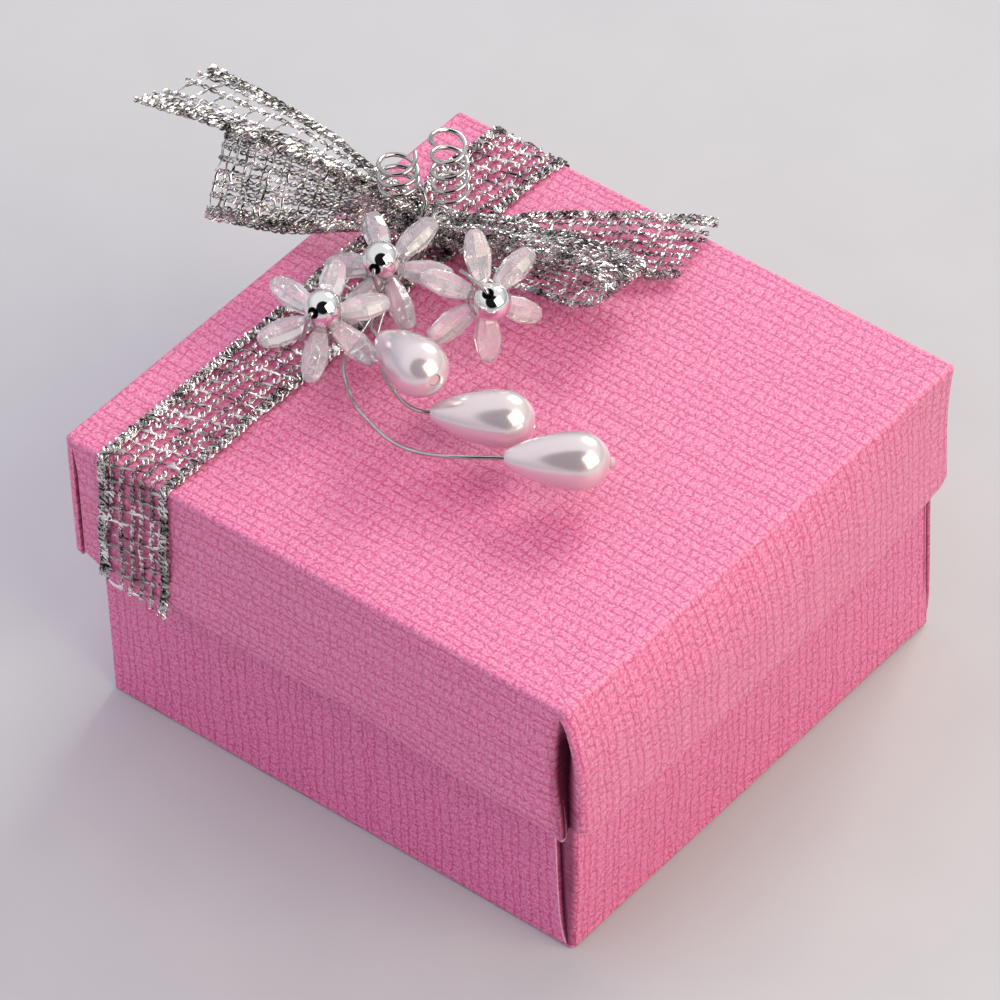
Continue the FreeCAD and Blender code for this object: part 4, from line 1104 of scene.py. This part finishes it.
def loop_surface(loop, sizes, seed):
    """A bow loop's surface and its length.

    Along the loop x = length (1 - cos a) / 2 and y = opening / 2 sin a sin(a / 2) over its peak, with a
    through most of a turn; the ribbon is gathered into pleats at the knot and full at its fold.
    """
    along, across, facing = ribbon_axes(*loop["pose"])
    left_out, steps, peak = math.radians(24), 400, 0.77
    angle = np.linspace(left_out, math.tau - left_out, steps)
    reach = (1 - np.cos(angle)) / 2
    x = loop["length"] * reach
    y = loop["opening"] / 2 * np.sin(angle) * np.sin(angle / 2) / peak
    run = np.concatenate([[0], np.cumsum(np.hypot(np.diff(x), np.diff(y)))])

    def surface(u, v):
        """The loop's line at v, widened by u, with pleats near the knot and a leaning upper ply."""
        px = np.interp(v, run, x)
        py = np.interp(v, run, y)
        far = px / loop["length"]
        share = (sizes.waist + (loop["width"] - sizes.waist) * ease(far / 0.8)) / sizes.width
        pleat = (1 - ease(far / 0.75)) * 0.55 * np.cos(u * 2.1 + 0.12 * v + seed)
        sway = 0.35 * ripple(u, v, pitch=11.0, seed=seed) * ease(far * 2)
        outward = np.sign(v - run[-1] / 2) * -1.0
        puff = py + outward * (pleat + sway) * np.clip(np.abs(v - run[-1] / 2) / 3.0, 0, 1)
        upper = 1 - ease((v / run[-1] - 0.3) / 0.4)
        turned = math.radians(loop["lean"]) * (upper * ease(far * 2))[..., None]
        wide = across * np.cos(turned) + facing * np.sin(turned)
        raised = facing * np.cos(turned) - across * np.sin(turned)
        sunk = UP * (loop["drop"] * upper * far)[..., None]
        return (KNOT + along * px[..., None] + raised * puff[..., None]
                + wide * (u * share)[..., None] - sunk)

    return surface, float(run[-1])


def tail_surface(tail, sizes, seed):
    """A bow tail's surface: it fans out from the knot on a shallow arch, and its pleats open on the way."""
    along, across, facing = ribbon_axes(*tail["pose"])
    length = tail["length"]

    def surface(u, v):
        """The tail's line at v, widened by u, with its arch and pleats along the facing direction."""
        reach = v / length
        share = (sizes.waist + (sizes.width - sizes.waist) * ease(reach / tail["fan"])) / sizes.width
        bowed = 4 * tail["arch"] * reach * (1 - reach)
        sway = 0.22 * ripple(u, v, pitch=10.0, seed=seed)
        pleat = (1 - ease(reach / 0.9)) * 0.4 * np.cos(u * 1.9 + seed) + sway
        return (KNOT + UP * (tail["start"] * (1 - reach))[..., None] + along * v[..., None]
                + facing * (bowed + pleat)[..., None] + across * (u * share)[..., None])

    return surface


class GIFTBOX_OT_bow(bpy.types.Operator):
    """Tie the bow: two loops, two tails and the wrapped knot"""

    bl_idname = "giftbox.bow"
    bl_label = "Bow"

    def execute(self, context):
        sizes = context.scene.gift_ribbon
        for number, (side, loop) in enumerate(LOOPS.items()):
            surface, length = loop_surface(loop, sizes, seed=51 + number)
            ribbon_piece(f"bow_{side}_loop_ribbon", f"bow_{side}_loop", surface, sizes, WARPS,
                         lambda u: 0.0 * u, lambda u: length + 0.0 * u, seed=61 + number,
                         held="folded", rests_on=["bow_knot_wrap"], length=length)
        for number, (side, tail) in enumerate(TAILS.items()):
            surface = tail_surface(tail, sizes, seed=55 + number)
            length, slant = tail["length"], tail["slant"]
            ribbon_piece(f"bow_{side}_tail_ribbon", f"bow_{side}_tail", surface, sizes, tail["warps"],
                         lambda u: 1.2 + 0.0 * u, lambda u: length + slant * u / sizes.width,
                         seed=71 + number, held="hung", rests_on=["bow_knot_wrap"], length=length)
        low, high = node_box("bow_knot")
        half = (high - low) / 2
        turn_length = math.tau * (half[1] + half[2]) / 2

        def wrap(u, v):
            """Pleats round the egg-shaped knot: an ellipse in Y and Z that narrows towards its ends."""
            share = u / sizes.width * 1.7
            swell = np.sqrt(np.clip(1 - share ** 2, 0.05, 1)) + 0.07 * np.cos(u * 2.6)
            angle = math.tau * v / turn_length + 0.05 * u
            return KNOT + np.stack([half[0] * share, half[1] * swell * np.cos(angle),
                                    half[2] * swell * np.sin(angle)], axis=-1)

        wraps = ribbon_shape(wrap, sizes, WARPS, lambda u: 0.0 * u,
                             lambda u: turn_length * 1.15 + 0.0 * u, seed=81)
        core_rows, core_columns, core_share = 16, 24, 0.86
        core_turn = np.linspace(0.05, math.pi - 0.05, core_rows)
        core = np.column_stack([np.sin(core_turn), np.cos(core_turn)])
        core_points, core_faces = turned_shape(core, np.zeros(3), np.array((1.0, 0.0, 0.0)), core_columns)
        first_ring = np.arange(core_columns)
        ends = np.stack([first_ring, first_ring + (core_rows - 1) * core_columns])
        points, faces = join_shapes([wraps, (core_points * half * core_share + KNOT, core_faces + [ends])])
        make_piece("bow_knot_wrap", points, faces, [finish("Ribbon film")], ["bow_knot"],
                   smooth=False)
        return {"FINISHED"}


# Wires

def bundle_axes():
    """Middle of the twisted stems, with their heading, sideways and upward directions."""
    way = direction(BUNDLE_AZIMUTH, -BUNDLE_SLOPE)
    above = direction(BUNDLE_AZIMUTH, 90.0 - BUNDLE_SLOPE)
    side = np.cross(above, way)
    centre = node_centre("stem_bundle")
    return centre, way, side, above


def bundle_seat(sizes, end, angle):
    """Place on an end of the bundle, 1 in front and -1 behind, where one wire leaves it."""
    centre, way, side, above = bundle_axes()
    circle = (sizes.bundle - sizes.wire) / 2 - 0.05
    turn = math.radians(angle)
    return (centre + way * (end * sizes.bundle_length / 2) + side * (circle * math.cos(turn))
            + above * (circle * math.sin(turn)))


def stem_stations(sizes, angle, route, last):
    """Places and headings of a stem from the bundle's front along its route."""
    way = bundle_axes()[1]
    root = bundle_seat(sizes, 1, angle)
    places = np.vstack([root, root + way * sizes.wire, KNOT + np.array(route)])
    return places, through_headings(places, way, last)


class GIFTBOX_OT_wires(bpy.types.Operator):
    """Twist the stems together, bind them and wind the two curls"""

    bl_idname = "giftbox.wires"
    bl_label = "Stems, binding and curls"

    def execute(self, context):
        sizes = context.scene.gift_spray
        centre, way, side, above = bundle_axes()
        wire = finish("Drawn wire")
        along = np.linspace(-0.5, 0.5, 40)[:, None] * sizes.bundle_length
        circle = (sizes.bundle - sizes.wire) / 2
        twisted = [tube(centre + way * along, sizes.wire * 0.9)]
        outer_wires, wind = 6, 1.5
        for seat in range(outer_wires):
            turn = math.tau * seat / outer_wires + wind * along / sizes.bundle_length
            spread = np.cos(turn) * side + np.sin(turn) * above
            twisted.append(tube(centre + way * along + circle * spread, sizes.wire / 2))
        points, faces = join_shapes(twisted)
        make_piece("twisted_stems", points, faces, [wire], ["stem_bundle"], sharp=50)

        binding_turns, binding_pitch, clearance = 3, 0.95, 0.05
        turn = np.linspace(0, binding_turns * math.tau, 160)[:, None]
        climb = (turn / math.tau - binding_turns / 2) * binding_pitch + 0.06 * np.sin(turn * 0.5)
        radius = sizes.bundle / 2 + clearance + sizes.wire / 2
        wound = np.cos(turn) * side + np.sin(turn) * np.cross(way, side)
        points, faces = tube(centre + way * climb + radius * wound, sizes.wire / 2)
        make_piece("binding_turns", points, faces, [wire], ["binding_wire"], sharp=50)

        for name, curl in CURLS.items():
            root = bundle_seat(sizes, -1, curl["seat"])
            start = math.radians(curl["start"])
            turn = np.linspace(0, curl["turns"] * math.tau, 40 * curl["turns"])[:, None]
            share = turn / turn[-1]
            radius = curl["radius"] * (1 + 0.05 * np.sin(2.3 * turn) * share)
            lean = np.array((0.12, -0.1, 0.0)) * np.sin(math.pi * share)
            winding = np.concatenate([np.cos(start + turn), np.sin(start + turn), 0 * turn], axis=1)
            helix = (KNOT + np.array(curl["centre"]) + lean
                     + UP * curl["height"] * (0.75 * share + 0.25 * share ** 2) + radius * winding)
            heading = unit(helix[1] - helix[0])
            lead = hermite_path([root, root - way * sizes.wire, helix[0]], [-way, -way, heading],
                                steps=14)
            points, faces = tube(np.vstack([lead[:-1], helix]), sizes.curl_wire / 2, sides=14)
            make_piece(f"curl_{name}_wire", points, faces, [wire], [f"curl_{name}"],
                       sharp=50)
        return {"FINISHED"}


# Bead flowers

def flower_axes(number, sizes):
    """Centre, axis, first in-plane direction and second one of a flower."""
    flower = FLOWERS[number]
    axis = direction(flower["azimuth"], flower["elevation"])
    level = unit(np.cross(UP, axis))
    turn = math.radians(flower["spin"])
    first = level * math.cos(turn) + np.cross(axis, level) * math.sin(turn)
    drop = (sizes.petal_start + sizes.ring_inset) * math.sin(math.radians(sizes.petal_droop))
    return node_centre(f"flower_{number}_ring") + axis * drop, axis, first, np.cross(axis, first)


def petal_radius(sizes, reach):
    """Half the petal's width: a sine swell from root to belly and a cosine fall from belly to tip."""
    swell = np.sin(math.pi / 2 * np.clip(reach / sizes.petal_belly, 0, 1))
    past_belly = (reach - sizes.petal_belly) / (sizes.petal_length - sizes.petal_belly)
    fall = np.cos(math.pi / 2 * np.clip(past_belly, 0, 1))
    inner = sizes.petal_root + (sizes.petal_width - sizes.petal_root) * swell
    outer = sizes.petal_tip + (sizes.petal_width - sizes.petal_tip) * fall
    return np.where(reach < sizes.petal_belly, inner, outer) / 2


def petal_shape(sizes, centre, axis, way, tangent):
    """A faceted petal: rings of eight corners along a drooped line, flattened along the flower's axis."""
    droop = math.radians(sizes.petal_droop)
    along = way * math.cos(droop) - axis * math.sin(droop)
    above = axis * math.cos(droop) + way * math.sin(droop)
    corners, flatness = 8, 0.84
    reach = sizes.petal_length * np.array((0.0, 0.06, 0.24, 0.54, 0.8, 0.94, 1.0))
    radius = petal_radius(sizes, reach) * np.array((0.8, 1.0, 1.03, 1.04, 1.02, 0.98, 0.55))
    angle = (np.arange(corners) + 0.5) * math.tau / corners
    points = (centre + along * (sizes.petal_start + reach)[:, None, None]
              + radius[:, None, None] * (np.cos(angle)[None, :, None] * tangent
                                         + flatness * np.sin(angle)[None, :, None] * above))
    ends = np.stack([np.arange(corners), np.arange(corners) + (len(reach) - 1) * corners])
    return points.reshape(-1, 3), [grid_faces(len(reach), corners, wrap_columns=True), ends]


class GIFTBOX_OT_flowers(bpy.types.Operator):
    """String the petals on their rings, with a mirror bead and its wire in each flower"""

    bl_idname = "giftbox.flowers"
    bl_label = "Bead flowers"

    def execute(self, context):
        sizes = context.scene.gift_spray
        bead_rows, bore_rows, bead_columns = 44, 8, 64
        for number, flower in FLOWERS.items():
            centre, axis, first, second = flower_axes(number, sizes)
            for k in range(PETALS):
                turn = math.tau * k / PETALS
                way = first * math.cos(turn) + second * math.sin(turn)
                points, faces = petal_shape(sizes, centre, axis, way, np.cross(axis, way))
                name = f"flower_{number}_petal_{k + 1}"
                petal = make_piece(f"{name}_crystal", points, faces, [finish("Petal crystal")],
                                   [name], smooth=False)
                bevel = petal.modifiers.new("Worn facets", "BEVEL")
                bevel.width = 0.06 * MM
                bevel.segments = 2
            bead = node_centre(f"flower_{number}_bead")
            low, high = node_box(f"flower_{number}_bead")
            radius = float(np.max(high - low)) / 2
            gap_turn = math.tau * (flower["gap"] + 0.5) / PETALS
            gap_way = first * math.cos(gap_turn) + second * math.sin(gap_turn)
            drilling = unit(gap_way * 0.8 + axis * 0.6)
            hole = sizes.bead_hole / 2
            edge = math.asin(hole / radius)
            turn = np.linspace(edge, math.pi - edge, bead_rows)
            sphere = np.column_stack([radius * np.sin(turn), radius * np.cos(turn)])
            depth = np.linspace(-1, 1, bore_rows) * radius * math.cos(edge) * 0.97
            bore = np.column_stack([np.full(bore_rows, hole * 0.94), depth])
            points, faces = turned_shape(np.vstack([sphere, bore]), bead, drilling, bead_columns,
                                         closed=True)
            slots = (np.arange(len(faces[0])) // bead_columns >= bead_rows - 1).astype(int)
            # The bore's near-black finish is painted shade inside the hole.
            coats = [finish("Mirror coat"), finish("Drilled hole shade")]
            make_piece(f"flower_{number}_mirror_bead", points, faces, coats,
                       [f"flower_{number}_bead"], slots=slots, sharp=40)

            back = centre - axis * (sizes.petal_width / 2 + sizes.wire)
            places, headings = stem_stations(sizes, FLOWER_SEATS[number],
                                             np.vstack([FLOWER_ROUTES[number], back - KNOT]), axis)
            places = np.vstack([places, bead - axis * radius * 0.5])
            headings = np.vstack([headings, axis])
            stem = tube(hermite_path(places, headings, steps=14), sizes.wire / 2)
            leave = bead + drilling * radius * 1.02
            gap_reach = sizes.petal_start + 0.65 * sizes.petal_belly
            hem = centre + gap_way * gap_reach - axis * sizes.petal_width * 0.6
            over = hermite_path([bead, leave, leave + unit(gap_way - axis * 0.5) * 0.7, hem],
                                [drilling, drilling, gap_way * 0.4 - axis, -axis], steps=12)
            points, faces = join_shapes([stem, tube(over, sizes.wire / 2)])
            make_piece(f"flower_{number}_stem_wire", points, faces, [finish("Drawn wire")],
                       [f"flower_{number}_wire"], sharp=50)
        return {"FINISHED"}


class GIFTBOX_OT_pearls(bpy.types.Operator):
    """Hang the pearl drops on their stems"""

    bl_idname = "giftbox.pearls"
    bl_label = "Pearl drops"

    def execute(self, context):
        sizes = context.scene.gift_spray
        rows, columns = 26, 64
        radius, tip, cup = sizes.pearl / 2, sizes.pearl_tip / 2, sizes.pearl_cup / 2
        share = np.linspace(0, 1, rows)
        shoulder, tip_step, wire_depth = 0.2, 0.35, 1.4
        drop = np.column_stack([tip + (radius - tip) * np.sin(share * math.pi / 2) ** 0.84,
                                shoulder + (sizes.pearl_belly - shoulder) * share])
        turn = np.linspace(0, math.pi / 2 - math.asin(cup / radius), rows)[1:]
        fat_end = sizes.pearl_length - sizes.pearl_belly
        ball = np.column_stack([radius * np.cos(turn), sizes.pearl_belly + fat_end * np.sin(turn)])
        rim = np.array([(tip * 0.42, 1.2), (tip * 0.45, 0.12), (tip * 0.8, 0.0)])
        cup_floor = np.array([(cup * 0.96, ball[-1, 1] - 0.12), (cup * 0.95, sizes.pearl_length - 1.15)])
        profile = np.vstack([rim, drop, ball, cup_floor])
        for number, heading in PEARL_HEADINGS.items():
            way = unit(np.array(heading))
            tip_place = KNOT + np.array(PEARL_ROUTES[number][-1])
            points, faces = turned_shape(profile, tip_place + way * tip_step, way, columns)
            ends = np.stack([np.arange(columns), np.arange(columns) + (len(profile) - 1) * columns])
            make_piece(f"pearl_{number}_drop", points, faces + [ends], [finish("Pearl coat")],
                       [f"pearl_{number}"], sharp=60)
            places, headings = stem_stations(sizes, PEARL_SEATS[number], PEARL_ROUTES[number], way)
            places = np.vstack([places, tip_place + way * wire_depth])
            headings = np.vstack([headings, way])
            points, faces = tube(hermite_path(places, headings, steps=14), sizes.wire / 2)
            make_piece(f"pearl_{number}_stem_wire", points, faces, [finish("Drawn wire")],
                       [f"pearl_{number}_stem"], sharp=50)
        return {"FINISHED"}


class GIFTBOX_OT_small_parts(bpy.types.Operator):
    """Give the small solids that stay as they are their finishes"""

    bl_idname = "giftbox.small_parts"
    bl_label = "Rings and glue"

    def execute(self, context):
        looks = {"glue_dot": "Dried glue"}
        for number in FLOWERS:
            looks[f"flower_{number}_ring"] = "Drawn wire"
            looks[f"pearl_{number}_glue"] = "Dried glue"
        for node, look in looks.items():
            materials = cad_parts[node].data.materials
            materials.clear()
            materials.append(finish(look))
        return {"FINISHED"}


def facing_matrix(place, away, right=None):
    """Placement of a lamp or camera that looks against the away direction, level or with a given right."""
    right = np.cross(UP, away) if right is None else right - away * np.dot(right, away)
    right = unit(right)
    upright = np.cross(away, right)
    return Matrix([(*row, spot) for *row, spot in zip(right, upright, away, place)] + [(0, 0, 0, 1)])


def add_lamp(scene, name, place, size, energy, colour):
    """A soft area lamp in metres that looks at the box."""
    lamp = bpy.data.lights.new(name, "AREA")
    lamp.size = size
    lamp.energy = energy
    lamp.color = colour
    lamp_object = bpy.data.objects.new(name, lamp)
    scene.collection.objects.link(lamp_object)
    place = np.array(place)
    aim = np.array((0.0, 0.0, 0.03))
    lamp_object.matrix_world = facing_matrix(place, unit(place - aim))


def tent_world(away):
    """Light from all round: cool in front and plain behind, with a dark opening that mirrors show."""
    world = bpy.data.worlds.new("light_tent")
    world.use_nodes = True
    tree = world.node_tree
    way = tree.nodes.new("ShaderNodeTexCoord")
    cool_side = (-0.64, -0.63, 0.44)
    front = add_node(tree, "ShaderNodeVectorMath", {1: cool_side}, operation="DOT_PRODUCT")
    towards = add_node(tree, "ShaderNodeVectorMath", {1: tuple(away)}, operation="DOT_PRODUCT")
    parts = tree.nodes.new("ShaderNodeSeparateXYZ")
    for node in (front, towards, parts):
        link(tree, way, "Generated", node, 0)
    fill = mix_colours(tree, ranged(tree, front.outputs["Value"], -0.9, 0.9, 0.0, 1.0), (0.37, 0.37, 0.37),
                       (0.98, 0.865, 1.24))
    tent = mix_colours(tree, ranged(tree, parts.outputs["Z"], -0.1, 0.55, 0.0, 1.0), (0.30, 0.29, 0.31),
                       (0.86, 0.855, 0.86))
    opened = mix_colours(tree, ranged(tree, towards.outputs["Value"], 0.75, 0.79, 0.0, 1.0), tent,
                         (0.008, 0.008, 0.009))
    path = tree.nodes.new("ShaderNodeLightPath")
    colour = mix_colours(tree, path.outputs["Is Glossy Ray"], fill, opened)
    tree.links.new(colour, tree.nodes["Background"].inputs["Color"])
    return world


class GIFTBOX_OT_stage(bpy.types.Operator):
    """Set the floor, the light and the camera"""

    bl_idname = "giftbox.stage"
    bl_label = "Stage"

    def execute(self, context):
        scene = context.scene
        scene.view_settings.view_transform = "Standard"
        look = scene.gift_finishes
        mesh = bpy.data.meshes.new("paper_floor")
        half_floor = 4000.0
        corners = np.array(((-1, -1, 0), (1, -1, 0), (1, 1, 0), (-1, 1, 0))) * half_floor
        fill_mesh(mesh, corners, [np.array([[0, 1, 2, 3]])])
        floor = bpy.data.objects.new("paper_floor", mesh)
        scene.collection.objects.link(floor)
        mesh.materials.append(grained_material("Floor paper", bpy.data.node_groups["Fine grain"], 300.0,
                                               (shade(look.floor, 0.985), shade(look.floor, 1.015)),
                                               (0.7, 0.8)))
        for name, lamp in LAMPS.items():
            add_lamp(scene, name, **lamp)

        camera = bpy.data.cameras.new("photo_camera")
        camera.sensor_width = 36.0
        camera.lens = CAMERA["lens"]
        camera_object = bpy.data.objects.new("photo_camera", camera)
        scene.collection.objects.link(camera_object)
        away = direction(CAMERA["azimuth"], CAMERA["elevation"])
        level = unit(np.cross(UP, away))
        roll = math.radians(CAMERA["roll"])
        right = level * math.cos(roll) + np.cross(away, level) * math.sin(roll)
        place = (away * CAMERA["distance"] + right * CAMERA["right"]
                 + np.cross(away, right) * CAMERA["above"] + UP * CAMERA["height"])
        camera_object.matrix_world = facing_matrix(place, away, right)
        scene.camera = camera_object
        scene.world = tent_world(away)
        return {"FINISHED"}


class GIFTBOX_PT_panel(bpy.types.Panel):
    """Pieces of the gift box"""

    bl_idname = "GIFTBOX_PT_panel"
    bl_label = "Gift box"
    bl_space_type = "VIEW_3D"
    bl_region_type = "UI"
    bl_category = "Gift box"

    def draw(self, context):
        for operator in OPERATORS:
            self.layout.operator(operator.bl_idname)
        for group in ("gift_card", "gift_ribbon", "gift_spray", "gift_finishes"):
            settings = getattr(context.scene, group)
            for name in settings.bl_rna.properties.keys():
                if name not in ("rna_type", "name"):
                    self.layout.prop(settings, name)


GROUPS = {"gift_card": BoxSizes, "gift_ribbon": RibbonSizes, "gift_spray": SpraySizes,
          "gift_finishes": Finishes}
OPERATORS = (GIFTBOX_OT_finishes, GIFTBOX_OT_tray, GIFTBOX_OT_lid, GIFTBOX_OT_ribbon, GIFTBOX_OT_bow,
             GIFTBOX_OT_wires, GIFTBOX_OT_flowers, GIFTBOX_OT_pearls, GIFTBOX_OT_small_parts,
             GIFTBOX_OT_stage)


def register():
    """Register the settings, the operators and the panel."""
    for name, group in GROUPS.items():
        bpy.utils.register_class(group)
        setattr(bpy.types.Scene, name, bpy.props.PointerProperty(type=group))
    for operator in OPERATORS:
        bpy.utils.register_class(operator)
    bpy.utils.register_class(GIFTBOX_PT_panel)


def unregister():
    """Take the panel, the operators and the settings away again."""
    bpy.utils.unregister_class(GIFTBOX_PT_panel)
    for operator in reversed(OPERATORS):
        bpy.utils.unregister_class(operator)
    for name, group in GROUPS.items():
        delattr(bpy.types.Scene, name)
        bpy.utils.unregister_class(group)


def main():
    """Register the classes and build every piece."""
    register()
    for step in ("finishes", "tray", "lid", "ribbon", "bow", "wires", "flowers", "pearls", "small_parts",
                 "stage"):
        getattr(bpy.ops.giftbox, step)()


if __name__ == "__main__":
    main()
